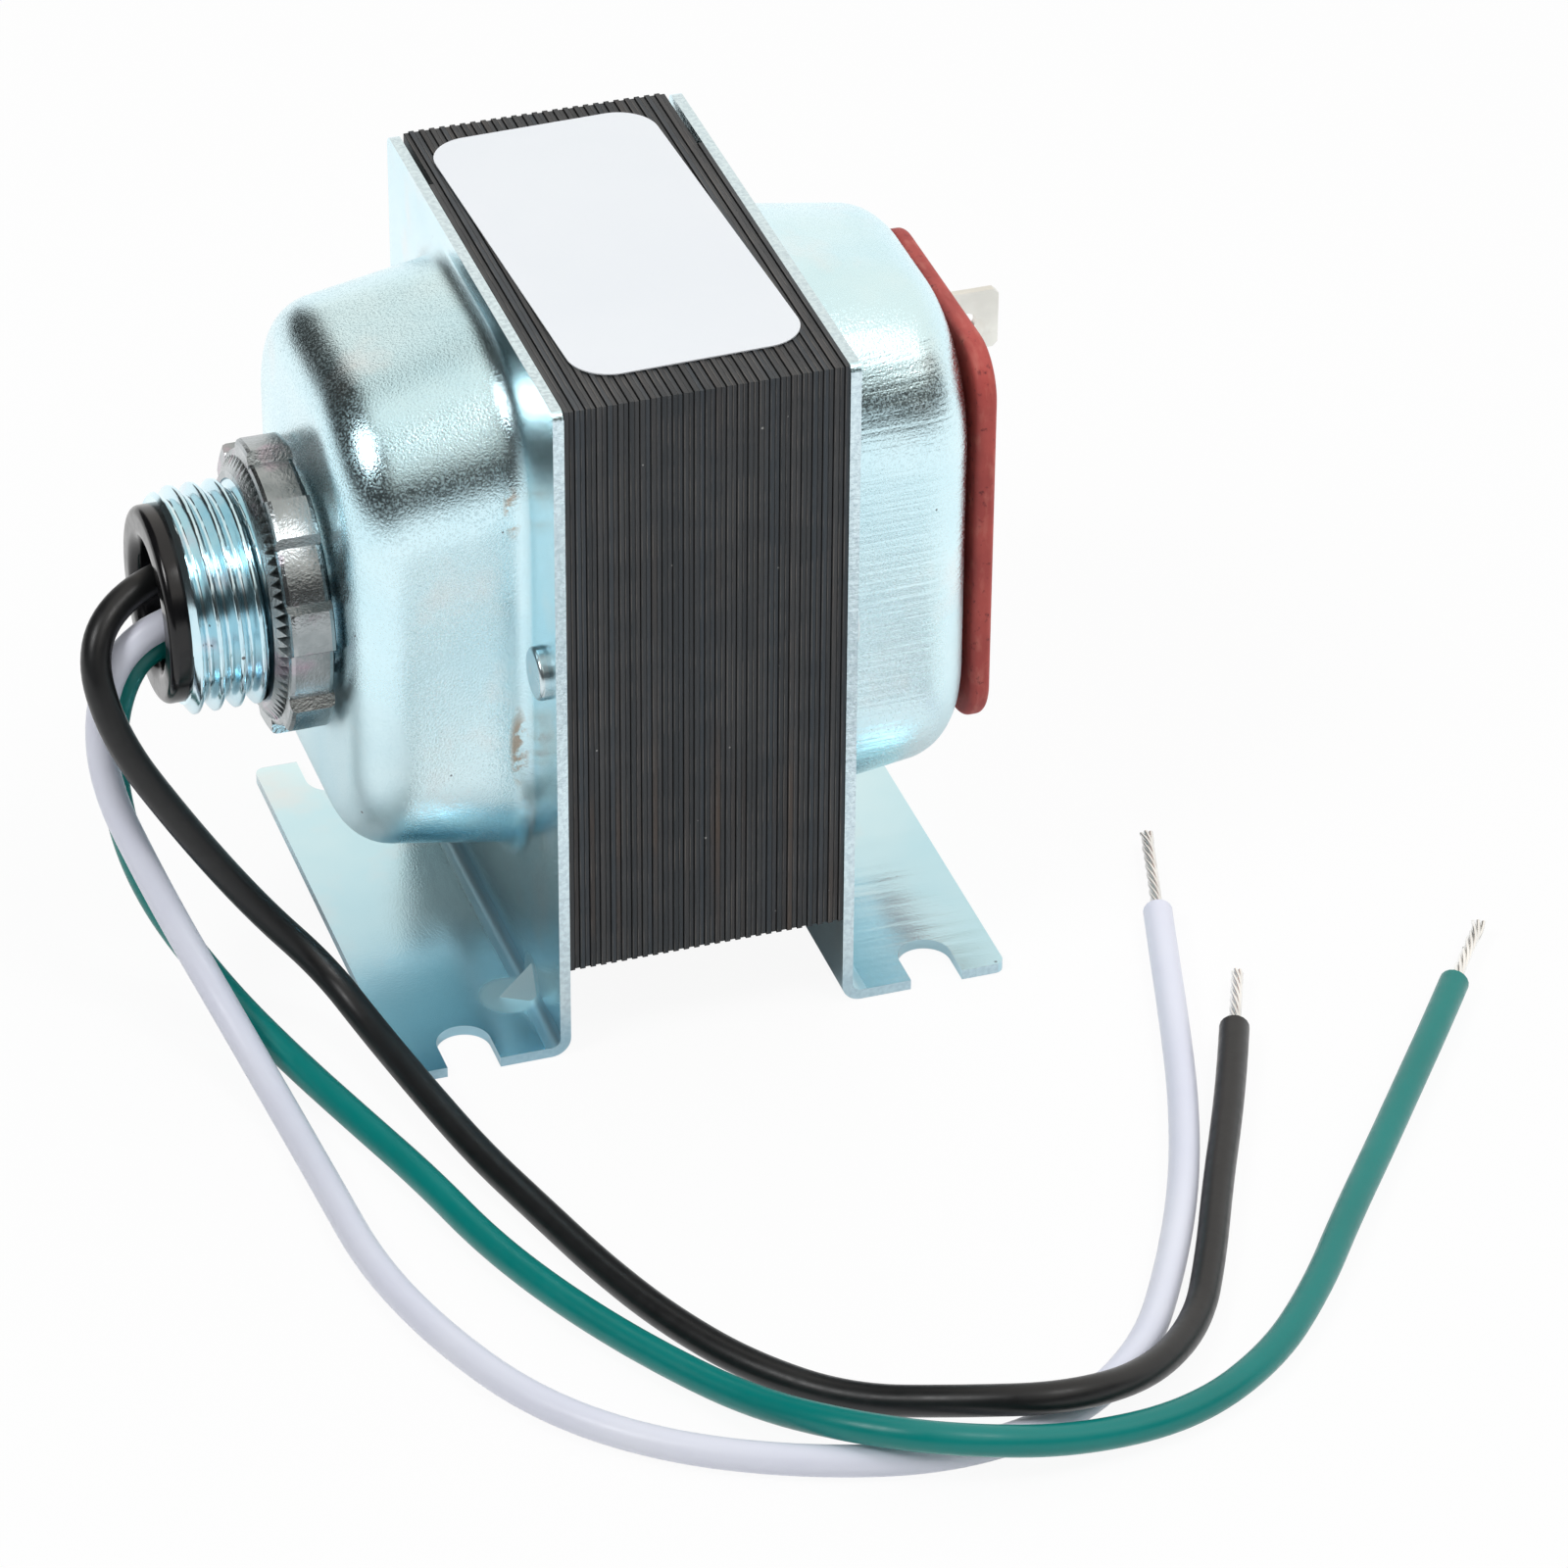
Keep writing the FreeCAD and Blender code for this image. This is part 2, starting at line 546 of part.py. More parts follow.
def label():
    wire = rounded_wire(0, 0, 0, LABEL_W / 2, LABEL_L / 2, LABEL_R)
    plate = Part.Face(wire).extrude(V(LABEL_T, 0, 0))
    plate.rotate(V(0, 0, 0), V(0, 1, 0), -90)
    plate.rotate(V(0, 0, 0), V(0, 0, 1), 90 + LABEL_TURN)
    plate.translate(V(LABEL_X, LABEL_Y, CORE_Z1))
    return plate


def coil_ring(in_x, in_z, build, y0, y1, in_r, out_r):
    """A closed turn round the centre leg, between two rounded outlines."""
    shapes = []
    for hx, hz, r in ((in_x + build, in_z + build, out_r), (in_x, in_z, in_r)):
        wire = rounded_wire(0, 0, 0, hx, hz, r)
        block = Part.Face(wire).extrude(V(y1 - y0, 0, 0))
        block.rotate(V(0, 0, 0), V(0, 0, 1), 90)
        block.translate(V(0, y0, CORE_ZC))
        shapes.append(block)
    return shapes[0].cut(shapes[1])


def bobbin():
    tube = coil_ring(TUBE_X, TUBE_Z, BOBBIN_WALL, -COIL_Y, COIL_Y, 0.2, 1.0)
    lip = BOBBIN_WALL + COIL_BUILD + BOBBIN_LIP
    parts = [coil_ring(TUBE_X, TUBE_Z, lip, y, y + BOBBIN_FLANGE_T, 0.2, lip + 0.3)
             for y in (-COIL_Y - BOBBIN_FLANGE_T, COIL_Y)]
    return tube.multiFuse(parts)


def coil_layer(inside, build):
    in_r = 1.0 + inside
    return coil_ring(WIND_X + inside, WIND_Z + inside, build, -COIL_Y, COIL_Y, in_r, in_r + build)


def coil_tail(side):
    """Lead from the coil's face to the tail of a tab rivet."""
    z_end = DOME_ZC + side * TAB_DZ
    z0 = CORE_ZC + side * 0.75 * TAB_DZ
    x_end = BOARD_X - TAB_HEAD_T
    pts = [V(COIL_X, 2.6, z0), V(COIL_X + 3.2, 2.8, z0 + side * 0.3),
           V(x_end - 2.6, TAB_RIVET_Y - 0.3, z_end - side * 0.3), V(x_end, TAB_RIVET_Y, z_end)]
    return tube(pts, TAIL_R)


def unit(a, b):
    d = b - a
    return d.multiply(1.0 / d.Length)


def route(points):
    """Straight runs joined by tangent arcs; returns the wire and the arc radii."""
    pts = [V(*p) for p in points]
    edges = []
    radii = []
    last = pts[0]
    for a, b, c in zip(pts, pts[1:], pts[2:]):
        u = unit(a, b)
        v = unit(b, c)
        turn = u.getAngle(v)
        reach = 0.45 * min((b - a).Length, (c - b).Length)
        radius = reach / math.tan(turn / 2)
        start = b - u * reach
        end = b + v * reach
        inward = unit(V(0, 0, 0), v - u)
        middle = b + inward * (radius / math.cos(turn / 2) - radius)
        edges.append(Part.LineSegment(last, start).toShape())
        edges.append(Part.Arc(start, middle, end).toShape())
        radii.append(radius)
        last = end
    edges.append(Part.LineSegment(last, pts[-1]).toShape())
    return Part.Wire(edges), radii


def tube(points, radius):
    wire, radii = route(points)
    start = V(*points[0])
    direction = unit(start, V(*points[1]))
    ring = Part.Wire(Part.makeCircle(radius, start, direction))
    solid = wire.makePipeShell([ring], True, True)
    return solid


def lead(name):
    points = LEADS[name]
    wire, radii = route(points)
    solid = tube(points, LEAD_R)
    ideal = math.pi * LEAD_R ** 2 * wire.Length
    print(name, "length %.1f" % wire.Length, "volume / section x length %.4f" % (solid.Volume / ideal))
    print("  radii", " ".join("%.1f" % r for r in radii))
    return solid


def strand(name):
    points = LEADS[name]
    a = V(*points[-2])
    b = V(*points[-1])
    d = unit(a, b)
    body = Part.makeCylinder(STRAND_R, STRIPPED[name], b, d)
    tip = [e for e in body.Edges if (e.CenterOfMass - b).dot(d) > STRIPPED[name] - 1e-3]
    return body.makeChamfer(0.2, tip)


def export(name, shape):
    shapes = shape if isinstance(shape, list) else [shape]
    solids = [s for item in shapes for s in item.Solids]
    body = solids[0] if len(solids) == 1 else Part.makeCompound(solids)
    ok = all(s.isValid() for s in solids)
    volume = sum(s.Volume for s in solids)
    b = body.BoundBox
    print("%-22s solids %2d valid %s volume %9.1f  x %.1f %.1f y %.1f %.1f z %.1f %.1f"
          % (name, len(solids), ok, volume, b.XMin, b.XMax, b.YMin, b.YMax, b.ZMin, b.ZMax))
    body.exportStep(os.path.join(OUT, name + ".step"))


os.makedirs(OUT, exist_ok=True)

export("e_laminations", e_laminations())
export("i_laminations_front", i_front())
export("i_laminations_back", i_back())
export("left_end_bell", left_bell())
export("right_end_bell", right_bell())
export("front_rivet", stack_rivet(-1))
export("back_rivet", stack_rivet(1))
export("hub_nipple", hub_nipple())
export("ground_lug", ground_lug())
export("locknut", locknut())
export("hub_bushing", hub_bushing())
export("terminal_board", terminal_board())
export("upper_eyelet", board_eyelet(1))
export("lower_eyelet", board_eyelet(-1))
export("upper_tab", tab(1))
export("lower_tab", tab(-1))
export("upper_tab_rivet", tab_rivet(1))
export("lower_tab_rivet", tab_rivet(-1))
export("label", label())
export("bobbin", bobbin())
export("primary_winding", coil_layer(0.0, PRIMARY_BUILD))
export("insulation_wrap", coil_layer(PRIMARY_BUILD, WRAP_T))
export("secondary_winding", coil_layer(PRIMARY_BUILD + WRAP_T, SECONDARY_BUILD))
export("outer_tape", coil_layer(PRIMARY_BUILD + WRAP_T + SECONDARY_BUILD, TAPE_T))
export("upper_coil_tail", coil_tail(1))
export("lower_coil_tail", coil_tail(-1))
for lead_name in LEADS:
    export(lead_name, lead(lead_name))
for lead_name in LEADS:
    export(lead_name.replace("lead", "strand"), strand(lead_name))
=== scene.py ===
# %% [markdown]
# A doorbell transformer: a stack of steel laminations held between two drawn, zinc plated end
# bells, with a threaded hub and three leads on the left and push-on tabs on the right. The hard
# parts come from the CAD frame and keep their shapes. This notebook dresses them, winds the
# thread, lays the leads and lights the table they stand on.

import math

import bpy
from mathutils import Matrix, Vector


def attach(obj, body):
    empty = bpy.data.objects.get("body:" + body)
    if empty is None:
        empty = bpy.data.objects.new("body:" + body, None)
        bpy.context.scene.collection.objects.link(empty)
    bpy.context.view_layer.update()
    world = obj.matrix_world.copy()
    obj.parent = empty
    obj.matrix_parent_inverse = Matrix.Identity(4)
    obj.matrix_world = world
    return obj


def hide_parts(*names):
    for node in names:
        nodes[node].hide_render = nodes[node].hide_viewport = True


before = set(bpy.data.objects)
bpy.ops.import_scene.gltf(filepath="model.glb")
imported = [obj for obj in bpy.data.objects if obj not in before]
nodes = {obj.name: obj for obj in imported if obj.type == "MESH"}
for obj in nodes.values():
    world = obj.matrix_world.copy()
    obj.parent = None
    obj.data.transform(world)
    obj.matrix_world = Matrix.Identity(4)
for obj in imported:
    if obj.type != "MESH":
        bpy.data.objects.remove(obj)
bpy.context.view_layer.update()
MM = 0.001
print("CAD nodes:", len(nodes))

# %% [markdown]
# The camera is put first, because everything else is judged through it. A product photograph is
# taken from some way off with a long lens, so that edges stay nearly parallel. The angles below
# were found by lining up the corners of the core and the feet with their places in the picture.

# %% Camera
CAMERA_AZIMUTH = math.radians(-18.67)
CAMERA_HEIGHT = math.radians(34.05)
CAMERA_ROLL = math.radians(0.49)
CAMERA_DISTANCE = 701.0 * MM
CAMERA_TARGET = Vector((16.62, 0.0, 7.06)) * MM
LENS_MM = 164.14
SENSOR_MM = 36.0
NEAREST = 10.0 * MM

back = Vector((math.sin(CAMERA_AZIMUTH) * math.cos(CAMERA_HEIGHT),
               -math.cos(CAMERA_AZIMUTH) * math.cos(CAMERA_HEIGHT),
               math.sin(CAMERA_HEIGHT)))
level = Vector((math.cos(CAMERA_AZIMUTH), math.sin(CAMERA_AZIMUTH), 0.0))
rise = back.cross(level)
right = level * math.cos(CAMERA_ROLL) + rise * math.sin(CAMERA_ROLL)
up = rise * math.cos(CAMERA_ROLL) - level * math.sin(CAMERA_ROLL)

camera_data = bpy.data.cameras.new("camera")
camera_data.lens = LENS_MM
camera_data.sensor_width = SENSOR_MM
camera_data.clip_start = NEAREST
camera = bpy.data.objects.new("camera", camera_data)
camera.matrix_world = Matrix.Translation(CAMERA_TARGET + back * CAMERA_DISTANCE) @ Matrix(
    (right, up, back)).transposed().to_4x4()
bpy.context.collection.objects.link(camera)
bpy.context.scene.camera = camera
print("camera at", [round(v, 3) for v in camera.matrix_world.translation])

# %% [markdown]
# The three leads are stranded wire in a stiff vinyl jacket. Such wire never bends in corners, so
# each is a smooth spline whose control points are the route of the CAD lead. A curve with a round
# bevel is better here than a mesh tube: the route stays easy to move, and the section stays round.
# The thickness is written in each point's radius, and the bevel's own depth is just 1.

# %% Routes of the leads, in millimetres
JACKET_R = 1.45
ON_FLOOR = 1.5
ROUTES = {
    "black": [
        (-21.0, 3.4, 43.0), (-27.5, 2.8, 43.1), (-37.0, 1.8, 43.2), (-47.3, -0.9, 43.5),
        (-53.1, -5.2, 40.3), (-51.9, -8.4, 31.9), (-46.0, -10.4, 21.7), (-39.8, -12.3, 12.5),
        (-34.2, -15.0, 6.3), (-31.5, -21.6, 3.2), (-29.6, -31.0, 2.8), (-26.9, -41.7, 1.8),
        (-23.9, -51.4, ON_FLOOR), (-21.2, -60.8, ON_FLOOR), (-17.7, -70.1, ON_FLOOR),
        (-12.8, -78.9, ON_FLOOR), (-5.8, -86.3, 1.6), (2.3, -92.4, 4.2), (10.9, -96.0, 5.2),
        (19.9, -92.8, 3.2), (27.4, -85.3, ON_FLOOR), (32.2, -76.1, ON_FLOOR),
        (36.5, -66.7, ON_FLOOR), (40.9, -57.7, ON_FLOOR), (44.5, -49.9, ON_FLOOR),
        (46.9, -44.3, ON_FLOOR)],
    "white": [
        (-21.0, -4.6, 40.6), (-29.8, -4.0, 40.5), (-41.3, -3.4, 41.4), (-50.6, -3.8, 38.4),
        (-53.1, -5.0, 26.9), (-48.6, -9.6, 14.2), (-44.5, -18.6, 5.6), (-42.2, -29.8, 1.6),
        (-41.4, -42.1, ON_FLOOR), (-40.7, -54.7, ON_FLOOR), (-37.5, -66.8, ON_FLOOR),
        (-32.3, -78.1, ON_FLOOR), (-24.0, -86.8, ON_FLOOR), (-12.8, -92.9, ON_FLOOR),
        (-0.2, -96.4, ON_FLOOR), (11.7, -94.5, ON_FLOOR), (21.5, -87.5, ON_FLOOR),
        (28.0, -76.9, ON_FLOOR), (33.7, -65.5, ON_FLOOR), (38.2, -53.6, ON_FLOOR),
        (41.8, -41.7, ON_FLOOR), (44.7, -31.5, ON_FLOOR), (46.8, -24.2, ON_FLOOR)],
    "green": [
        (-26.4, -1.5, 22.5), (-26.4, -1.5, 29.0), (-26.6, -1.5, 36.4), (-35.8, -1.7, 36.6),
        (-46.3, -2.1, 37.9), (-50.0, -1.7, 32.1), (-50.7, -0.6, 21.4), (-49.1, -5.5, 12.1),
        (-43.8, -13.4, 4.6), (-39.4, -22.3, 1.6), (-36.0, -32.9, ON_FLOOR),
        (-32.5, -43.7, ON_FLOOR), (-29.8, -54.4, ON_FLOOR), (-25.8, -64.5, ON_FLOOR),
        (-20.6, -74.3, ON_FLOOR), (-14.5, -84.2, 2.0), (-8.3, -93.5, 4.8), (0.0, -98.7, 5.2),
        (11.0, -98.9, 2.6), (22.5, -97.2, ON_FLOOR), (32.1, -91.7, ON_FLOOR),
        (39.5, -83.7, ON_FLOOR), (46.0, -74.8, ON_FLOOR), (53.1, -65.7, ON_FLOOR),
        (59.8, -56.9, ON_FLOOR), (65.6, -49.3, ON_FLOOR), (69.6, -43.9, ON_FLOOR)],
}
JACKET_STEPS = 10
JACKET_FACETS = 7


def spline(name, points, radius, steps, facets):
    """A round bar along a smooth line guided by these places, in millimetres."""
    curve = bpy.data.curves.new(name, "CURVE")
    curve.dimensions = "3D"
    line = curve.splines.new("NURBS")
    line.points.add(len(points) - 1)
    for slot, place in zip(line.points, points):
        slot.co = (place[0] * MM, place[1] * MM, place[2] * MM, 1.0)
        slot.radius = radius * MM
    line.order_u = 3
    line.use_endpoint_u = True
    line.resolution_u = steps
    curve.bevel_depth = 1.0
    curve.bevel_resolution = facets
    curve.use_fill_caps = True
    item = bpy.data.objects.new(name, curve)
    bpy.context.collection.objects.link(item)
    return item


jackets = {}
for colour, points in ROUTES.items():
    jackets[colour] = spline(colour + "_jacket", points, JACKET_R, JACKET_STEPS, JACKET_FACETS)
    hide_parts(colour + "_lead")
    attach(jackets[colour], "root")
print("leads:", ", ".join(jackets))

# %% [markdown]
# The jackets are stripped for connecting, and bare tinned strands stick out. Each end is seven
# fine wires: one straight in the middle and six laid round it. Curves again, turned into one mesh,
# since a bundle is moved and lit as one piece. Some tips splay a little, as cut strands do.

# %% Bare strands
STRIPPED = {"black": 8.9, "white": 13.1, "green": 10.1}
SPLAY = {"black": 0.0, "white": 0.12, "green": 0.2}
SPLAY_FROM = 0.7
WIRE_R = 0.21
NESTED = 0.98
LAY_MM = 9.0
HIDDEN_MM = 3.0
OUTER_WIRES = 6
PLACES = 14
WIRE_STEPS = 3
WIRE_FACETS = 2


def strand_lines(colour):
    """Places of the seven wires, starting a little inside the jacket."""
    a, b = (Vector(p) for p in ROUTES[colour][-2:])
    ahead = (b - a).normalized()
    side = ahead.cross(Vector((0, 0, 1))).normalized()
    over = side.cross(ahead)
    lines = []
    for wire in range(OUTER_WIRES + 1):
        line = []
        for i in range(PLACES + 1):
            t = i / PLACES
            along = -HIDDEN_MM + t * (STRIPPED[colour] + HIDDEN_MM)
            turn = 2 * math.pi * (along / LAY_MM + wire / OUTER_WIRES)
            radius = 0.0 if wire == OUTER_WIRES else 2 * WIRE_R * NESTED
            if wire % 2 == 0 and wire < OUTER_WIRES:
                radius += SPLAY[colour] * max(0.0, t - SPLAY_FROM) / (1 - SPLAY_FROM)
            shift = side * math.cos(turn) * radius + over * math.sin(turn) * radius
            line.append(b + ahead * along + shift)
        lines.append(line)
    return lines


strands = {}
for colour in ROUTES:
    wires = [spline("wire", line, WIRE_R, WIRE_STEPS, WIRE_FACETS) for line in strand_lines(colour)]
    bpy.ops.object.select_all(action="DESELECT")
    for wire in wires:
        wire.select_set(True)
    bpy.context.view_layer.objects.active = wires[0]
    bpy.ops.object.join()
    bpy.ops.object.convert(target="MESH")
    bundle = bpy.context.view_layer.objects.active
    bundle.name = colour + "_bare_end"
    bpy.ops.object.shade_smooth()
    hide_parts(colour + "_strand")
    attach(bundle, "root")
    strands[colour] = bundle
print("bare ends:", {c: len(s.data.polygons) for c, s in strands.items()})

# %% [markdown]
# Round parts with a changing section are easiest as lathe work: a circle is added, then extruded
# along the axis and scaled, ring after ring. The hub points along -X, so the circle is stood up
# facing that way first.

# %% Lathe helper
HUB_Z = 40.1


def lathe(name, rings, sides):
    """A closed, turned part on the hub's axis from (x, radius) rings, in millimetres."""
    bpy.ops.object.select_all(action="DESELECT")
    x, radius = rings[0]
    bpy.ops.mesh.primitive_circle_add(vertices=sides, radius=radius * MM,
                                      location=(x * MM, 0, HUB_Z * MM),
                                      rotation=(0, math.pi / 2, 0))
    item = bpy.context.view_layer.objects.active
    item.name = name
    item.data.name = name
    bpy.ops.object.mode_set(mode="EDIT")
    bpy.ops.mesh.select_all(action="SELECT")
    for next_x, next_radius in rings[1:]:
        bpy.ops.mesh.extrude_edges_move(
            TRANSFORM_OT_translate={"value": ((next_x - x) * MM, 0, 0)})
        grow = next_radius / radius
        bpy.ops.transform.resize(value=(1, grow, grow), center_override=(
            next_x * MM, 0, HUB_Z * MM))
        x, radius = next_x, next_radius
    bpy.ops.mesh.select_mode(type="EDGE")
    bpy.ops.mesh.select_all(action="DESELECT")
    bpy.ops.mesh.select_non_manifold()
    bpy.ops.mesh.bridge_edge_loops()
    bpy.ops.mesh.select_all(action="SELECT")
    bpy.ops.mesh.normals_make_consistent(inside=False)
    bpy.ops.object.mode_set(mode="OBJECT")
    bpy.ops.object.transform_apply(location=True, rotation=True, scale=True)
    return item


print("lathe axis at", HUB_Z, "mm above the table")

# %% [markdown]
# The nipple carries a conduit thread. A modelled helix catches the light as a real thread does,
# where a bump map would leave a smooth outline. The barrel is turned with many fine rings, and
# then each of its points is moved in by where it lies along the thread's pitch: crests and roots
# are narrow and rounded, and the first turn is cut down by a chamfer, so that a nut starts easily.

# %% Threaded nipple
THREAD_R = 10.75
THREAD_DEPTH = 1.05
PITCH = 2.0
NIPPLE_END = 44.3
NIPPLE_BORE = 8.8
NECK_R = 10.5
COLLAR_R = 12.5
COLLAR_FROM = 28.2
COLLAR_TO = 29.15
THREAD_START = 31.2
THREAD_TURN = 0.35
FLAT_SHARE = 0.14
ROUND_SHARE = 0.35
CHAMFER = 0.7
CHAMFER_SLOPE = 1.1
RINGS = 150
SIDES = 192
NIPPLE_SMOOTH = math.radians(42)

rings = [(-COLLAR_FROM, NIPPLE_BORE), (-COLLAR_FROM, COLLAR_R), (-COLLAR_TO, COLLAR_R),
         (-COLLAR_TO, NECK_R), (-THREAD_START, NECK_R)]
for i in range(1, RINGS + 1):
    rings.append((-THREAD_START - (NIPPLE_END - THREAD_START) * i / RINGS, THREAD_R))
rings.append((-NIPPLE_END, NIPPLE_BORE))
nipple = lathe("threaded_nipple", rings, SIDES)

moved = 0
for vertex in nipple.data.vertices:
    x = -vertex.co.x / MM
    y = vertex.co.y / MM
    z = vertex.co.z / MM - HUB_Z
    radius = math.hypot(y, z)
    on_barrel = x > THREAD_START + 0.01 and radius >= THREAD_R - 0.1
    if on_barrel:
        phase = (x / PITCH + math.atan2(z, y) / (2 * math.pi) - THREAD_TURN) % 1.0
        height = (abs(2 * phase - 1) - FLAT_SHARE) / (1 - 2 * FLAT_SHARE)
        height = min(1.0, max(0.0, height))
        height += ROUND_SHARE * (height * height * (3 - 2 * height) - height)
        lead_in = THREAD_R - CHAMFER + (NIPPLE_END - x) * CHAMFER_SLOPE
        new = min(THREAD_R - THREAD_DEPTH * (1 - height), lead_in)
        vertex.co.y *= new / radius
        vertex.co.z = (HUB_Z + z * new / radius) * MM
        moved += 1
bpy.ops.object.shade_smooth_by_angle(angle=NIPPLE_SMOOTH)
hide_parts("hub_nipple")
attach(nipple, "root")
print("thread points moved:", moved)

# %% [markdown]
# The bushing is a black plastic ring pressed into the nipple so that the wires do not chafe. Its
# mouth is well rounded inside and out. A few more rings on the lathe give those rounds.

# %% Bushing
BUSH_R = 9.4
BUSH_BORE = 6.0
BUSH_FACE = 46.2
BUSH_TAIL = 36.2
PRESS_FIT = 0.02
RIM_ROUND = 0.8
MOUTH_ROUND = 1.2
ROUND_STEPS = 8
BUSH_SIDES = 128
BUSH_SMOOTH = math.radians(40)

rings = [(-BUSH_TAIL, BUSH_BORE), (-BUSH_TAIL, NIPPLE_BORE - PRESS_FIT),
         (-NIPPLE_END, NIPPLE_BORE - PRESS_FIT), (-NIPPLE_END, BUSH_R),
         (-BUSH_FACE + RIM_ROUND, BUSH_R)]
quarter = [math.pi / 2 * i / ROUND_STEPS for i in range(ROUND_STEPS + 1)]
for a in quarter[1:]:
    rings.append((-BUSH_FACE + RIM_ROUND * (1 - math.sin(a)),
                  BUSH_R - RIM_ROUND * (1 - math.cos(a))))
for a in quarter:
    rings.append((-BUSH_FACE + MOUTH_ROUND * (1 - math.cos(a)),
                  BUSH_BORE + MOUTH_ROUND * (1 - math.sin(a))))
bushing = lathe("mouth_bushing", rings, BUSH_SIDES)
bpy.ops.object.shade_smooth_by_angle(angle=BUSH_SMOOTH)
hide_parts("hub_bushing")
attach(bushing, "root")
print("bushing faces:", len(bushing.data.polygons))

# %% [markdown]
# Finishes come next. A material is a tree of nodes, and most trees need the same few steps: a sum,
# a ramp from one value to another, a blend of two colours. Each step is a helper that returns the
# socket to go on from, so that a finish below reads like a recipe.

# %% Node helpers


def fill(tree, node, inputs):
    """Give inputs of a node their values; a socket is linked instead."""
    for key, value in inputs.items():
        if isinstance(value, bpy.types.NodeSocket):
            tree.links.new(value, node.inputs[key])
        else:
            node.inputs[key].default_value = value
    return node


def add(tree, kind, inputs, **settings):
    """Add a node, set its options, and fill its inputs."""
    node = tree.nodes.new(kind)
    for key, value in settings.items():
        setattr(node, key, value)
    return fill(tree, node, inputs)


def calc(tree, operation, a, b=0.0):
    """One step of arithmetic on numbers or sockets."""
    return add(tree, "ShaderNodeMath", {0: a, 1: b}, operation=operation).outputs[0]


def product(tree, *factors):
    """Several numbers or sockets multiplied."""
    result = factors[0]
    for factor in factors[1:]:
        result = calc(tree, "MULTIPLY", result, factor)
    return result


def ramp(tree, value, start, end, low=0.0, high=1.0, shape="LINEAR"):
    """A value that runs from start to end becomes one from low to high, held at both ends."""
    return add(tree, "ShaderNodeMapRange", {0: value, 1: start, 2: end, 3: low, 4: high},
               interpolation_type=shape).outputs[0]


def vector(tree, operation, a, b, output="Vector"):
    """One step of vector arithmetic."""
    return add(tree, "ShaderNodeVectorMath", {0: a, 1: b}, operation=operation).outputs[output]


def axes(tree, place):
    """The x, y and z of a place."""
    return add(tree, "ShaderNodeSeparateXYZ", {0: place}).outputs


def tone(red, green, blue):
    """A colour written as it looks on screen, 0 to 255, turned into the shader's linear light."""
    linear = [((v / 255 + 0.055) / 1.055) ** 2.4 if v > 10 else v / 255 / 12.92
              for v in (red, green, blue)]
    return (*linear, 1.0)


def mix(tree, share, a, b):
    """Blend two colours by a share from 0 to 1."""
    return add(tree, "ShaderNodeMix", {0: share, 6: a, 7: b}, data_type="RGBA").outputs[2]


def finish(name, rough, metal=0.0):
    """A node material; returns it with its tree, its shader and the Object place."""
    material = bpy.data.materials.new(name)
    material.use_nodes = True
    tree = material.node_tree
    shader = fill(tree, tree.nodes["Principled BSDF"], {"Roughness": rough, "Metallic": metal})
    place = tree.nodes.new("ShaderNodeTexCoord").outputs["Object"]
    return material, tree, shader, place


print("white in linear light:", tone(255, 255, 255))

# %% [markdown]
# Effects that several materials share are node groups with named inputs, so each material can set
# its own size and strength. All of them read Object coordinates, which are the part's own places,
# so a grain keeps its real size on every piece. Mottle is a soft cloud mask for stains and uneven
# plating. Specks is a mask of scattered dust and pits. Grain is fine noise, as a value and as a
# normal, for cast, rolled or moulded skins; stretched, it makes the long lines of a drawing die.

# %% Shared effects


def new_group(name, inputs, outputs):
    """An empty node group with its sockets; returns it with its input and output nodes."""
    tree = bpy.data.node_groups.new(name, "ShaderNodeTree")
    for title, kind, value in inputs:
        socket = tree.interface.new_socket(title, in_out="INPUT", socket_type=kind)
        if value is not None:
            socket.default_value = value
    for title, kind in outputs:
        tree.interface.new_socket(title, in_out="OUTPUT", socket_type=kind)
    return tree, tree.nodes.new("NodeGroupInput"), tree.nodes.new("NodeGroupOutput")


def in_cells(tree, place, size):
    """The place counted in cells of this size."""
    return add(tree, "ShaderNodeVectorMath", {0: place, "Scale": calc(tree, "DIVIDE", 1.0, size)},
               operation="SCALE").outputs[0]


mottle, source, sink = new_group("mottle", [
    ("Place", "NodeSocketVector", None), ("Size", "NodeSocketFloat", 0.01),
    ("From", "NodeSocketFloat", 0.4), ("To", "NodeSocketFloat", 0.7)],
    [("Mask", "NodeSocketFloat")])
cell = in_cells(mottle, source.outputs["Place"], source.outputs["Size"])
cloud = add(mottle, "ShaderNodeTexNoise", {"Vector": cell, "Scale": 1.0, "Detail": 4.0,
                                           "Roughness": 0.55})
fill(mottle, sink, {"Mask": ramp(mottle, cloud.outputs[0], source.outputs["From"],
                                 source.outputs["To"])})

specks, source, sink = new_group("specks", [
    ("Place", "NodeSocketVector", None), ("Size", "NodeSocketFloat", 0.002),
    ("Spread", "NodeSocketFloat", 0.1)], [("Mask", "NodeSocketFloat")])
cell = in_cells(specks, source.outputs["Place"], source.outputs["Size"])
dot = add(specks, "ShaderNodeTexVoronoi", {"Vector": cell, "Scale": 1.0})
chance = add(specks, "ShaderNodeSeparateColor", {0: dot.outputs["Color"]}).outputs[0]
reach = calc(specks, "MULTIPLY", chance, source.outputs["Spread"])
fill(specks, sink, {"Mask": calc(specks, "LESS_THAN", dot.outputs["Distance"], reach)})

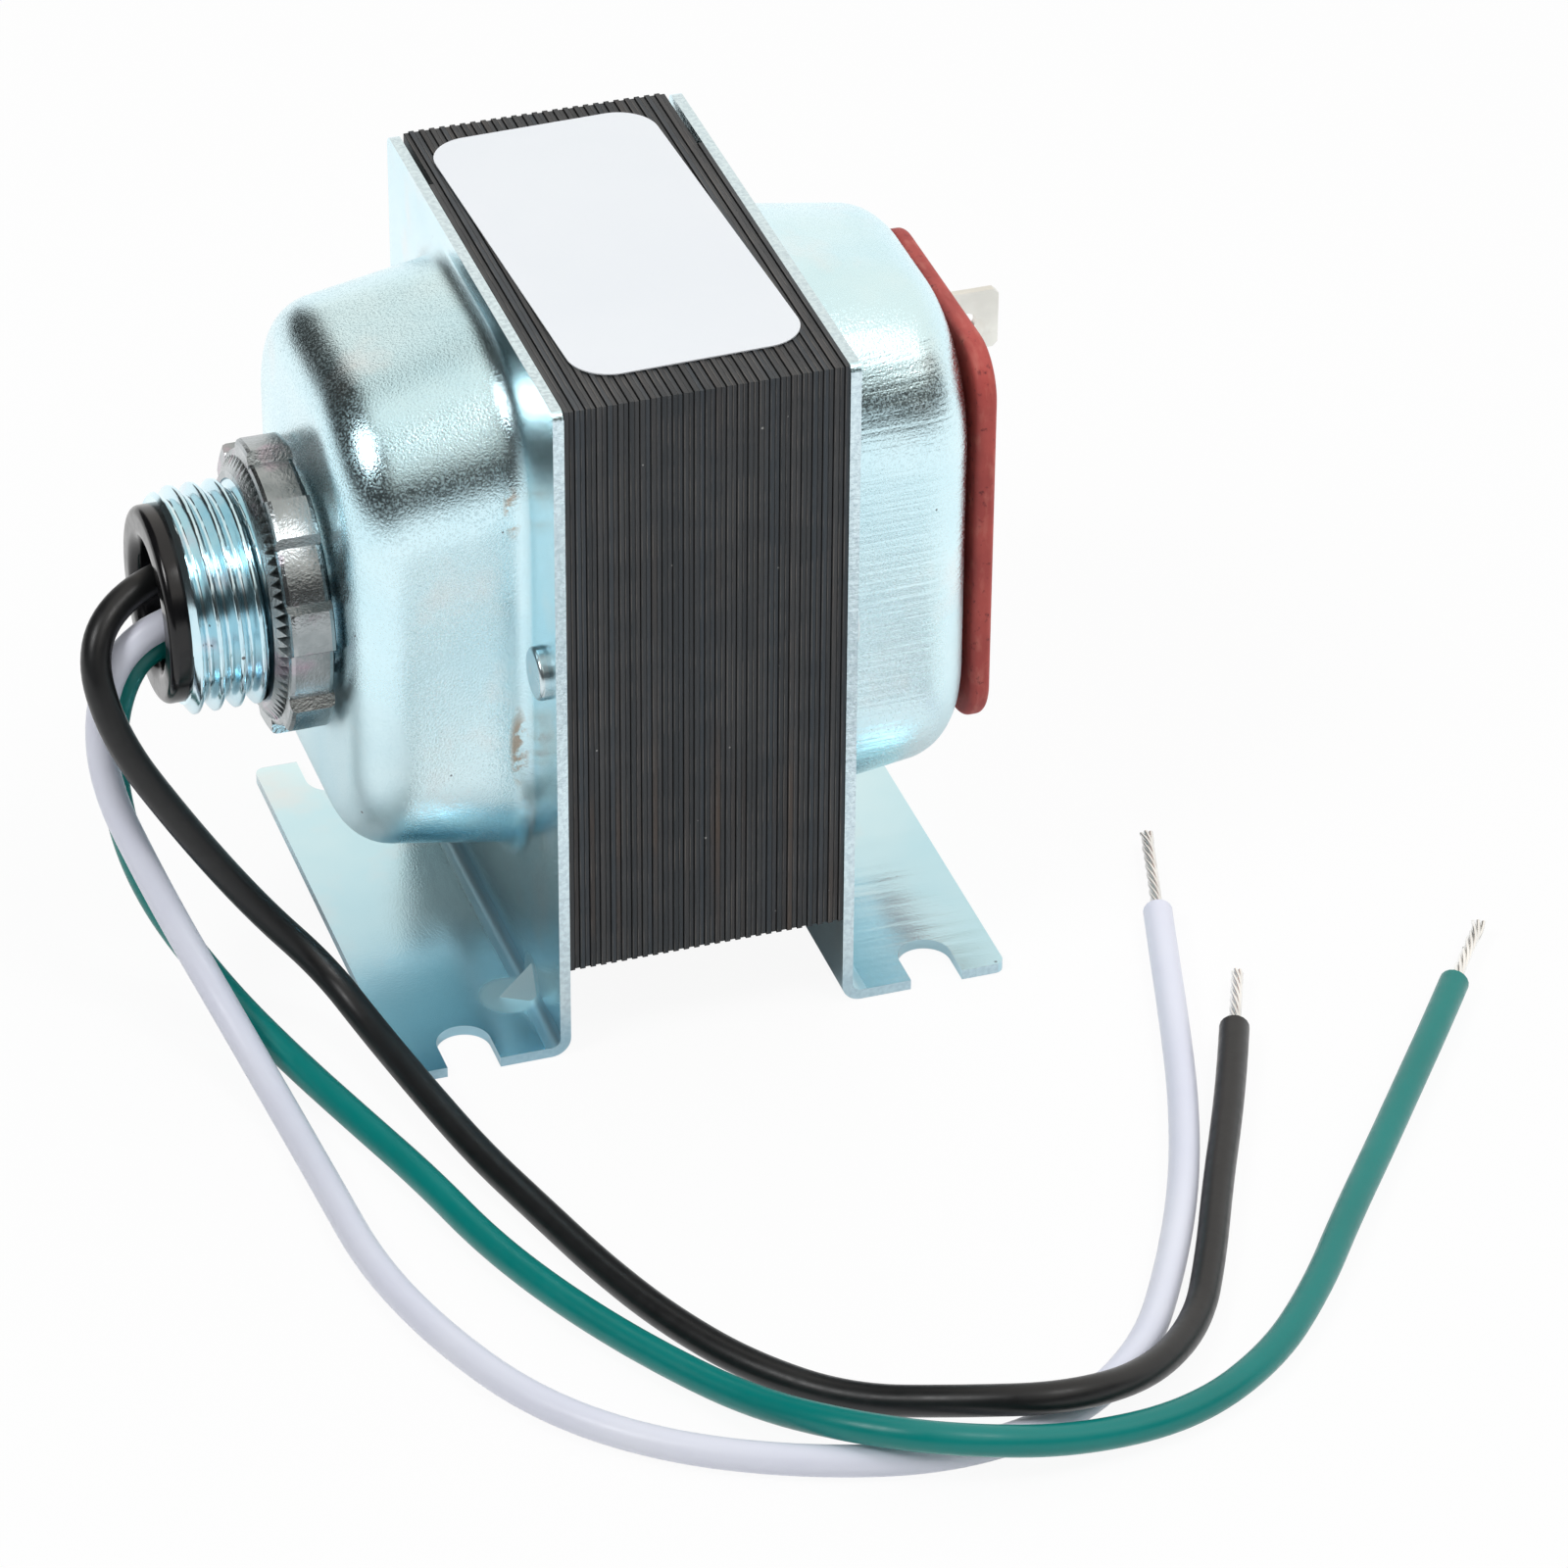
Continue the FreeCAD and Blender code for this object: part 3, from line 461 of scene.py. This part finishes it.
grain, source, sink = new_group("grain", [
    ("Place", "NodeSocketVector", None), ("Size", "NodeSocketFloat", 0.0004),
    ("Depth", "NodeSocketFloat", 0.00002), ("Stretch", "NodeSocketVector", (1.0, 1.0, 1.0))],
    [("Normal", "NodeSocketVector"), ("Value", "NodeSocketFloat")])
drawn_out = vector(grain, "MULTIPLY", source.outputs["Place"], source.outputs["Stretch"])
cell = in_cells(grain, drawn_out, source.outputs["Size"])
fine = add(grain, "ShaderNodeTexNoise", {"Vector": cell, "Scale": 1.0, "Detail": 3.0}).outputs[0]
bump = add(grain, "ShaderNodeBump", {"Distance": source.outputs["Depth"], "Height": fine})
fill(grain, sink, {"Normal": bump.outputs[0], "Value": fine})


def use(tree, group, inputs):
    """Put a shared effect into a material."""
    node = tree.nodes.new("ShaderNodeGroup")
    node.node_tree = group
    return fill(tree, node, inputs)


def clouds(tree, place, size, start, end):
    """The mottle mask, with clouds of this size in millimetres."""
    return use(tree, mottle, {"Place": place, "Size": size * MM, "From": start,
                              "To": end}).outputs[0]


def dots(tree, place, size, spread):
    """The specks mask, with at most one speck in each cell of this size in millimetres."""
    return use(tree, specks, {"Place": place, "Size": size * MM, "Spread": spread}).outputs[0]


def fine_grain(tree, place, size, depth, stretch=(1.0, 1.0, 1.0)):
    """The grain's value and normal; size and depth in millimetres."""
    outputs = use(tree, grain, {"Place": place, "Size": size * MM, "Depth": depth * MM,
                                "Stretch": stretch}).outputs
    return outputs["Value"], outputs["Normal"]


print("shared effects:", mottle.name, specks.name, grain.name)

# %% [markdown]
# Clear blue zinc plating on drawn steel: a bright metal with a cold cyan cast, faint pink and
# yellow clouds where the film is thicker, small pits, and scuffs from handling. The edges that
# were sheared, at the front, back and top of the flanges, are paler and mottled. On the feet the
# film is thicker and bluer, more so toward the front. The film is left off the pressed dart, so
# that the dart is painted lighter than the foot: a painted highlight.

# %% Colour of the zinc sheet
FOOT_LEVEL = (6.0 * MM, 2.0 * MM)
SHEARED_Y = (27.03 * MM, 27.07 * MM)
SHEARED_Z = (70.42 * MM, 70.47 * MM)
FILM_Y = (28.0 * MM, -12.0 * MM)
DART = (-16.8 * MM, -17.7 * MM, 2.6 * MM)
DART_EDGE = (3.6 * MM, 2.6 * MM)
RUB_FADE = (1.0, 0.5)
RUB_HALF_X = 1.0 * MM
RUB_HALF_Y = 10.0 * MM / 7


def at_dart(tree, place):
    """1 on the dart pressed into the bend of the left foot, 0 elsewhere."""
    return ramp(tree, vector(tree, "DISTANCE", place, DART, "Value"), *DART_EDGE)


def rubbed(tree, place, spot, half_height):
    """A ragged upright scuff round one spot."""
    away = vector(tree, "SUBTRACT", place, spot)
    shape = vector(tree, "MULTIPLY", away, (1 / RUB_HALF_X, 1 / RUB_HALF_Y, 1 / half_height))
    near = ramp(tree, vector(tree, "LENGTH", shape, (0.0, 0.0, 0.0), "Value"), *RUB_FADE)
    return calc(tree, "MULTIPLY", near, clouds(tree, place, 1.6, 0.44, 0.52))


def zinc_colour(tree, place, film_share, rubs):
    """Stained plating with pits, scuffs and sheared edges; a thicker film on the feet, left off the
    dart as a painted highlight.
    """
    _, y, z = axes(tree, place)
    colour = mix(tree, clouds(tree, place, 22.0, 0.35, 0.72), tone(214, 237, 242),
                 tone(193, 227, 237))
    colour = mix(tree, clouds(tree, place, 13.0, 0.56, 0.80), colour, tone(224, 226, 226))
    colour = mix(tree, dots(tree, place, 4.2, 0.04), colour, tone(130, 138, 142))
    for spot, half_height in rubs:
        colour = mix(tree, rubbed(tree, place, spot, half_height), colour, tone(178, 166, 152))
    sheared = calc(tree, "MAXIMUM", ramp(tree, calc(tree, "ABSOLUTE", y), *SHEARED_Y),
                   ramp(tree, z, *SHEARED_Z))
    steel = mix(tree, clouds(tree, place, 0.5, 0.40, 0.62), tone(208, 226, 232),
                tone(190, 208, 216))
    colour = mix(tree, sheared, colour, steel)
    film = calc(tree, "MULTIPLY", ramp(tree, y, *FILM_Y, 0.0, film_share),
                ramp(tree, z, *FOOT_LEVEL))
    # A painted highlight: the film is taken off the dart, which leaves it lighter than the foot.
    film = calc(tree, "MAXIMUM", calc(tree, "SUBTRACT", film, at_dart(tree, place)), 0.0)
    return mix(tree, film, colour, tone(138, 184, 204))


print("feet end", FOOT_LEVEL[0] / MM, "mm above the table")

# %% [markdown]
# How sharp the sheet mirrors depends on how far it was stretched. The flat flange kept its rolled
# finish. The domes went over a punch, which left a fine orange peel: small dull spots, strongest
# on the top rounds. The lower outside is scuffed, and the bend and the dart are dull from the tool.

# %% Roughness of the zinc sheet
PLAIN_ROUGH = (0.15, 0.20)
SPOT_NOISE = (0.46, 0.64)
SPOT_ROUGH = 0.24
STRETCHED_X = (15.0 * MM, 17.0 * MM)
STRETCHED_Z = (40.0 * MM, 56.0 * MM)
FOOT_SPOTS = 0.10
BEND = (15.4 * MM, 1.9 * MM, 0.0)
BEND_EDGE = (1.1 * MM, 0.9 * MM)
PRESSED_ROUGH = 0.36
SCUFFED_X = (25.0 * MM, 28.0 * MM)
SCUFFED_Z = (42.0 * MM, 32.0 * MM)
SCUFFED_ROUGH = 0.22


def zinc_roughness(tree, place, peel):
    """Base roughness, orange peel spots, scuffs and the pressed bend, added up."""
    x, _, z = axes(tree, place)
    reach = calc(tree, "ABSOLUTE", x)
    off_foot = ramp(tree, ramp(tree, z, *FOOT_LEVEL), 0.0, 1.0, 1.0, FOOT_SPOTS)
    rough = ramp(tree, clouds(tree, place, 9.0, 0.35, 0.70), 0.0, 1.0, *PLAIN_ROUGH)
    spots = product(tree, ramp(tree, peel, *SPOT_NOISE, 0.0, SPOT_ROUGH),
                    ramp(tree, reach, *STRETCHED_X, 0.15, 1.0),
                    ramp(tree, z, *STRETCHED_Z, 0.45, 1.0), off_foot)
    scuffed = product(tree, ramp(tree, reach, *SCUFFED_X),
                      ramp(tree, z, *SCUFFED_Z, 0.0, SCUFFED_ROUGH), off_foot)
    section = add(tree, "ShaderNodeCombineXYZ", {0: reach, 1: z}).outputs[0]
    bent = ramp(tree, vector(tree, "DISTANCE", section, BEND, "Value"), *BEND_EDGE)
    pressed = product(tree, calc(tree, "MAXIMUM", bent, at_dart(tree, place)), PRESSED_ROUGH)
    for more in (spots, scuffed, pressed):
        rough = calc(tree, "ADD", rough, more)
    return rough


print("roughness of a dull spot:", PLAIN_ROUGH[1] + SPOT_ROUGH)

# %% [markdown]
# The root, where a dome runs out into its flange, is wider and softer on the real sheet than the
# small round of the solid. A Bevel node averages the normals round the root, which widens it in
# the light only. Two bumps go on top: the long level lines that the die drew, plain to see on the
# right bell alone, and the orange peel, which the feet hardly have.

# %% Normal of the zinc sheet
ROOT_R = 2.2 * MM
ROOT_SAMPLES = 6
ROOT_Y = (23.5 * MM, 22.2 * MM)
ROOT_TOP = (69.0 * MM, 68.2 * MM)
ROOT_FOOT = (9.0 * MM, 11.0 * MM)
LINE_SIZE = 0.5
LINE_STRETCH = (0.03, 0.30, 1.0)
PEEL_DEPTH = 0.035 * MM
FOOT_PEEL_DEPTH = 0.010 * MM


def zinc_normal(tree, place, peel, line_depth):
    """The solid's normal with a softer root, drawn lines and orange peel."""
    _, y, z = axes(tree, place)
    root = product(tree, ramp(tree, calc(tree, "ABSOLUTE", y), *ROOT_Y),
                   ramp(tree, z, *ROOT_TOP), ramp(tree, z, *ROOT_FOOT))
    solid = tree.nodes.new("ShaderNodeNewGeometry").outputs["Normal"]
    wide = add(tree, "ShaderNodeBevel", {"Radius": ROOT_R}, samples=ROOT_SAMPLES).outputs[0]
    soft = add(tree, "ShaderNodeMix", {0: root, 4: solid, 5: wide}, data_type="VECTOR").outputs[1]
    lines, _ = fine_grain(tree, place, LINE_SIZE, 0.0, LINE_STRETCH)
    lined = add(tree, "ShaderNodeBump", {"Distance": line_depth, "Height": lines,
                                         "Normal": soft}).outputs[0]
    peel_depth = ramp(tree, ramp(tree, z, *FOOT_LEVEL), 0.0, 1.0, PEEL_DEPTH, FOOT_PEEL_DEPTH)
    return add(tree, "ShaderNodeBump", {"Distance": peel_depth, "Height": peel,
                                        "Normal": lined}).outputs[0]


print("root radius in the light:", ROOT_R / MM, "mm")

# %% [markdown]
# Both bells are the same plated sheet, made by one function from the three parts above. They
# differ in how plain the drawn lines are, how thick the film on the foot is, and in the rubs:
# only the left bell has them, beside the root of its dome.

# %% Zinc plated sheet of both bells
PEEL_SIZE = 0.22
LEFT_RUBS = [((-16.0 * MM, -19.0 * MM, 56.0 * MM), 3.6 * MM),
             ((-15.8 * MM, -19.0 * MM, 30.0 * MM), 4.8 * MM)]


def zinc_sheet(name, line_depth, film_share, rubs):
    """One bell's plated sheet."""
    material, tree, shader, place = finish(name, 0.26, 1.0)
    peel, _ = fine_grain(tree, place, PEEL_SIZE, 0.0)
    fill(tree, shader, {"Base Color": zinc_colour(tree, place, film_share, rubs),
                        "Roughness": zinc_roughness(tree, place, peel),
                        "Normal": zinc_normal(tree, place, peel, line_depth)})
    return material


left_zinc = zinc_sheet("left_bell_zinc", line_depth=0.003 * MM, film_share=0.62, rubs=LEFT_RUBS)
right_zinc = zinc_sheet("right_bell_zinc", line_depth=0.07 * MM, film_share=0.30, rubs=[])
print("zinc sheet:", left_zinc.name, right_zinc.name)

# %% [markdown]
# The core shows the cut edges of more than fifty steel plates. Their tone changes from plate to
# plate, with brown from rust and varnish, most of it low down, and blue-grey from the rolling. A
# tone for each plate is read from its number across the stack. A dark line falls at each joint
# between two plates. Beside it a thin broken light line is painted: a painted highlight, where
# the burr on a plate's edge catches the light.

# %% Laminations
PLATE_T = 0.51 * MM
PLATES = 53
CORE_HALF = PLATES * PLATE_T / 2
RUST_Z = (60.0 * MM, 15.0 * MM)
JOINT_EDGE = (0.36, 0.48)
BURR_HIGHLIGHT_RISE = (0.14, 0.24)
BURR_HIGHLIGHT_FALL = (0.34, 0.24)
BURR_HIGHLIGHT_SHARE = 0.7
JOINT_DEPTH = 0.06 * MM

plates, tree, shader, place = finish("lamination_edges", 0.42, 0.35)
x, _, z = axes(tree, place)
count = calc(tree, "DIVIDE", calc(tree, "ADD", x, CORE_HALF), PLATE_T)
across = calc(tree, "FRACT", count)
draw = add(tree, "ShaderNodeTexWhiteNoise", {"W": calc(tree, "FLOOR", count)},
           noise_dimensions="1D")
grey, rust, blue = add(tree, "ShaderNodeSeparateColor", {0: draw.outputs["Color"]}).outputs
smear = clouds(tree, place, 16.0, 0.38, 0.66)
colour = mix(tree, grey, tone(42, 47, 51), tone(62, 64, 66))
rusty = product(tree, ramp(tree, rust, 0.45, 1.0), smear, ramp(tree, z, *RUST_Z, 0.25, 1.0))
colour = mix(tree, rusty, colour, tone(88, 72, 60))
colour = mix(tree, ramp(tree, blue, 0.6, 1.0, 0.0, 0.7), colour, tone(50, 60, 68))
off_middle = calc(tree, "ABSOLUTE", calc(tree, "SUBTRACT", across, 0.5))
joint = ramp(tree, off_middle, *JOINT_EDGE)
colour = mix(tree, joint, colour, tone(24, 24, 25))
# Painted highlight: a light line beside each joint, where the burr on a plate's edge would catch
# the light.
burr_highlight = calc(tree, "MINIMUM", ramp(tree, across, *BURR_HIGHLIGHT_RISE), ramp(tree, across, *BURR_HIGHLIGHT_FALL))
burr_highlight = product(tree, burr_highlight, clouds(tree, place, 3.5, 0.42, 0.62), BURR_HIGHLIGHT_SHARE)
colour = mix(tree, burr_highlight, colour, tone(126, 120, 114))
colour = mix(tree, dots(tree, place, 2.6, 0.05), colour, tone(150, 150, 148))
_, cut = fine_grain(tree, place, 0.6, 0.03, (1.0, 0.25, 0.25))
groove = add(tree, "ShaderNodeBump", {"Distance": JOINT_DEPTH, "Height": joint, "Normal": cut},
             invert=True)
fill(tree, shader, {"Base Color": colour, "Normal": groove.outputs[0],
                    "Roughness": ramp(tree, smear, 0.0, 1.0, 0.36, 0.52)})
print("core:", plates.name, "with", PLATES, "plates")

# %% [markdown]
# The locknut is die cast and only lightly plated, so it is greyer than the bells, with a sandy
# skin and pink and lilac clouds. The nipple is turned and plated bright. The rivets and the lug are
# soft plated metal with small dents. One recipe makes all of them, from two tones, the tone of
# the clouds, and a grain whose size and depth are in millimetres.

# %% Small metal parts
PIT_TONE = tone(110, 112, 114)


def plated(name, light, dark, stain, rough, depth, size, stretch=(1.0, 1.0, 1.0)):
    """A plated or bare metal with clouds, pits and a grain."""
    material, tree, shader, place = finish(name, rough, 1.0)
    wide = clouds(tree, place, 6.0, 0.35, 0.68)
    colour = mix(tree, wide, tone(*light), tone(*dark))
    colour = mix(tree, clouds(tree, place, 4.5, 0.55, 0.75), colour, tone(*stain))
    colour = mix(tree, dots(tree, place, 2.2, 0.09), colour, PIT_TONE)
    fill(tree, shader, {"Base Color": colour,
                        "Roughness": ramp(tree, wide, 0.0, 1.0, rough - 0.03, rough + 0.04),
                        "Normal": fine_grain(tree, place, size, depth, stretch)[1]})
    return material


nut_metal = plated("cast_locknut", (172, 178, 180), (132, 140, 142), (180, 160, 174),
                   rough=0.24, depth=0.04, size=0.3)
thread_metal = plated("plated_thread", (206, 230, 237), (180, 216, 229), (214, 220, 228),
                      rough=0.17, depth=0.01, size=0.3, stretch=(1.0, 0.05, 0.05))
rivet_metal = plated("rivet_heads", (212, 224, 228), (184, 205, 212), (216, 214, 212),
                     rough=0.28, depth=0.02, size=0.8)
lug_metal = plated("ground_lug_tin", (205, 205, 198), (176, 176, 170), (200, 190, 180),
                   rough=0.34, depth=0.01, size=0.6)
tab_metal = plated("tab_tin", (238, 238, 232), (218, 218, 212), (206, 200, 190),
                   rough=0.36, depth=0.008, size=0.7)
eyelet_metal = plated("eyelet_brass", (206, 178, 110), (180, 148, 86), (150, 120, 76),
                      rough=0.32, depth=0.01, size=0.6)
strand_metal = plated("tinned_strands", (242, 242, 240), (214, 214, 212), (196, 190, 184),
                      rough=0.30, depth=0.006, size=0.4)
print("small metals:", nut_metal.name, thread_metal.name, rivet_metal.name, lug_metal.name,
      tab_metal.name, eyelet_metal.name, strand_metal.name)

# %% [markdown]
# The board is vulcanised fibre: paper pulp pressed hard and dyed red. Short pale fibres lie in
# its skin, and small dark tears show where it was sawn and drilled.

# %% Red fibre board
fibre, tree, shader, place = finish("red_fibre_board", 0.62)
threads, threads_normal = fine_grain(tree, place, 0.8, 0.08, (1.0, 0.35, 0.35))
colour = mix(tree, clouds(tree, place, 5.0, 0.3, 0.75), tone(198, 86, 78), tone(166, 64, 60))
colour = mix(tree, ramp(tree, threads, 0.54, 0.72, 0.0, 0.6), colour, tone(204, 112, 100))
colour = mix(tree, clouds(tree, place, 0.7, 0.60, 0.72), colour, tone(112, 40, 42))
fill(tree, shader, {"Base Color": colour, "Normal": threads_normal})
print("board:", fibre.name)

# %% [markdown]
# Plain plastics and papers are left: the wire jackets, the bushing, the label and what is wound
# inside. Each has its own gloss and a faint unevenness, so that none looks like a flat colour.
# The size of the clouds, and the depth and size of the grain, are in millimetres.

# %% Plastics and paper
SPECULAR = 0.38


def moulded(name, main, other, rough, cloud, depth, size, coat=0.0, stretch=(1.0, 1.0, 1.0)):
    """A moulded, coated or wound surface in two close tones."""
    material, tree, shader, place = finish(name, rough)
    skin, skin_normal = fine_grain(tree, place, size, depth, stretch)
    fill(tree, shader, {
        "Base Color": mix(tree, clouds(tree, place, cloud, 0.3, 0.75), tone(*main), tone(*other)),
        "Roughness": ramp(tree, skin, 0.3, 0.7, rough - 0.05, rough + 0.06),
        "Normal": skin_normal, "Coat Weight": coat, "Specular IOR Level": SPECULAR})
    return material


jacket_finish = {
    "black": moulded("black_vinyl", (24, 25, 26), (32, 33, 34),
                     rough=0.36, cloud=20.0, depth=0.008, size=1.2),
    "white": moulded("white_vinyl", (236, 239, 250), (226, 229, 245),
                     rough=0.38, cloud=20.0, depth=0.008, size=1.2),
    "green": moulded("green_vinyl", (0, 134, 128), (0, 122, 116),
                     rough=0.34, cloud=20.0, depth=0.008, size=1.2),
}
plastic = moulded("bushing_plastic", (14, 14, 16), (24, 24, 26),
                  rough=0.18, cloud=8.0, depth=0.006, size=1.0)
paper = moulded("label_film", (243, 247, 251), (238, 243, 248),
                rough=0.42, cloud=30.0, depth=0.004, size=0.9, coat=0.2)
nylon = moulded("bobbin_nylon", (226, 222, 206), (214, 208, 190),
                rough=0.45, cloud=10.0, depth=0.01, size=1.5)
copper = moulded("enamelled_copper", (176, 92, 48), (150, 70, 34),
                 rough=0.28, cloud=10.0, depth=0.06, size=0.8, coat=0.3, stretch=(1.0, 6.0, 1.0))
wrap = moulded("kraft_wrap", (190, 156, 108), (172, 138, 92),
               rough=0.7, cloud=8.0, depth=0.03, size=0.9)
tape = moulded("yellow_tape", (214, 178, 60), (200, 164, 50),
               rough=0.35, cloud=15.0, depth=0.01, size=1.0)
print("jackets:", ", ".join(jacket_finish), "and", plastic.name, paper.name, nylon.name,
      copper.name, wrap.name, tape.name)

# %% [markdown]
# Each CAD piece came with a plain material of its own. Its slot takes the finish made for it, and
# the pieces modelled here get theirs.

# %% Put the finishes on the pieces
DRESS = {
    "left_end_bell": left_zinc, "right_end_bell": right_zinc, "e_laminations": plates,
    "i_laminations_front": plates, "i_laminations_back": plates, "front_rivet": rivet_metal,
    "back_rivet": rivet_metal, "ground_lug": lug_metal, "locknut": nut_metal,
    "terminal_board": fibre, "upper_eyelet": eyelet_metal, "lower_eyelet": eyelet_metal,
    "upper_tab": tab_metal, "lower_tab": tab_metal, "upper_tab_rivet": eyelet_metal,
    "lower_tab_rivet": eyelet_metal, "label": paper, "bobbin": nylon, "primary_winding": copper,
    "insulation_wrap": wrap, "secondary_winding": copper, "outer_tape": tape,
    "upper_coil_tail": copper, "lower_coil_tail": copper,
}
for name, material in DRESS.items():
    nodes[name].material_slots[0].material = material
for item, material in ((nipple, thread_metal), (bushing, plastic)):
    item.data.materials.append(material)
for colour in ROUTES:
    jackets[colour].data.materials.append(jacket_finish[colour])
    strands[colour].data.materials.clear()
    strands[colour].data.materials.append(strand_metal)
print("dressed:", len(DRESS) + 2 + 2 * len(ROUTES))

# %% [markdown]
# The part stands on a white table that keeps its shadow. To the camera the table glows as well, so
# that it stays as white as the background. Mirrored in the metal it glows more, except close to
# the part, where the flanges and feet would otherwise lose their dark tones.

# %% Table
MIRROR_LIFT = 1.16
TABLE_SIZE = 6.0
TABLE_Z = -0.1 * MM
TABLE_WHITE = (0.90, 0.90, 0.90, 1.0)
CAMERA_GLOW = 0.93
PART_REACH = (25.0 * MM, 75.0 * MM)
NEAR_GLOW = 0.05
PURE_WHITE = (1.0, 1.0, 1.0, 1.0)

bpy.ops.object.select_all(action="DESELECT")
bpy.ops.mesh.primitive_plane_add(size=TABLE_SIZE, location=(0, 0, TABLE_Z))
table = bpy.context.view_layer.objects.active
table.name = "table"
white, tree, shader, place = finish("table_white", 0.6)
shader.inputs["Base Color"].default_value = TABLE_WHITE
path = tree.nodes.new("ShaderNodeLightPath").outputs
lift = ramp(tree, path["Is Glossy Ray"], 0.0, 1.0, 1.0, MIRROR_LIFT)
glow = add(tree, "ShaderNodeEmission", {"Color": PURE_WHITE, "Strength": lift})
away = vector(tree, "LENGTH", place, (0.0, 0.0, 0.0), "Value")
open_table = ramp(tree, away, *PART_REACH, NEAR_GLOW, 1.0, "SMOOTHSTEP")
share = calc(tree, "MAXIMUM", calc(tree, "MULTIPLY", path["Is Camera Ray"], CAMERA_GLOW),
             calc(tree, "MULTIPLY", path["Is Glossy Ray"], open_table))
surface = add(tree, "ShaderNodeMixShader", {0: share, 1: shader.outputs[0], 2: glow.outputs[0]})
fill(tree, tree.nodes["Material Output"], {"Surface": surface.outputs[0]})
table.data.materials.append(white)
print("table:", TABLE_SIZE, "m wide")

# %% [markdown]
# Bright metal shows mostly what is round it, so the room matters more than the lamps. It is white
# with two soft dark panels: one on the left, and a low one in front, where the photographer
# stands. They give the rounds their dark streaks. In the metal the ceiling is a little warm, and
# the camera itself sees a plain white background.

# %% Room light
LEFT_PANEL = [("X", -0.04, -0.24), ("Z", 0.98, 0.90)]
FRONT_PANEL = [("Y", -0.15, -0.35), ("Z", 0.66, 0.46), ("Z", 0.02, 0.20)]
WALL_LIGHT = 0.98
PANEL_LIGHT = 0.04
CEILING_Z = (0.1, 0.5)
CEILING_TONE = (1.0, 0.95, 0.89, 1.0)

world = bpy.data.worlds.new("room")
bpy.context.scene.world = world
world.use_nodes = True
tree = world.node_tree
tree.nodes.clear()
towards = axes(tree, tree.nodes.new("ShaderNodeTexCoord").outputs["Generated"])
path = tree.nodes.new("ShaderNodeLightPath").outputs


def panel(limits):
    """A dark panel in the room: a product of soft steps along the axes of the view."""
    return product(tree, *(ramp(tree, towards[axis], start, end, shape="SMOOTHSTEP")
                           for axis, start, end in limits))


dark = calc(tree, "MAXIMUM", panel(LEFT_PANEL), panel(FRONT_PANEL))
light = calc(tree, "MULTIPLY", ramp(tree, dark, 0.0, 1.0, WALL_LIGHT, PANEL_LIGHT),
             ramp(tree, path["Is Glossy Ray"], 0.0, 1.0, 1.0, MIRROR_LIFT))
light = calc(tree, "MAXIMUM", light, path["Is Camera Ray"])
warm = mix(tree, ramp(tree, towards["Z"], *CEILING_Z), PURE_WHITE, CEILING_TONE)
warm = mix(tree, path["Is Glossy Ray"], PURE_WHITE, warm)
room = add(tree, "ShaderNodeBackground", {"Color": warm, "Strength": light})
add(tree, "ShaderNodeOutputWorld", {"Surface": room.outputs[0]})
print("room:", world.name, "with 2 dark panels")

# %% [markdown]
# Two soft lamps stand to the left and the right in front of the table. The left one is the key and
# makes the bright patches on the corners of the left bell; the right one fills the core's front.

# %% Lamps
AIM = Vector((0, 0, 0.03))


def softbox(name, place, side, power):
    """A square lamp that faces the part; metres and watts."""
    lamp = bpy.data.lights.new(name, "AREA")
    lamp.shape = "RECTANGLE"
    lamp.size = side
    lamp.size_y = side
    lamp.energy = power
    item = bpy.data.objects.new(name, lamp)
    item.location = place
    item.rotation_euler = (AIM - Vector(place)).to_track_quat("-Z", "Y").to_euler()
    bpy.context.collection.objects.link(item)


softbox("key_left", (-0.80, -0.30, 0.95), side=0.40, power=5.7)
softbox("key_right", (0.34, -0.50, 1.10), side=0.26, power=2.3)

# %% [markdown]
# The Standard view shows the colours as they were mixed, which suits a product on white.

# %% View settings
bpy.context.scene.view_settings.view_transform = "Standard"
bpy.context.view_layer.update()
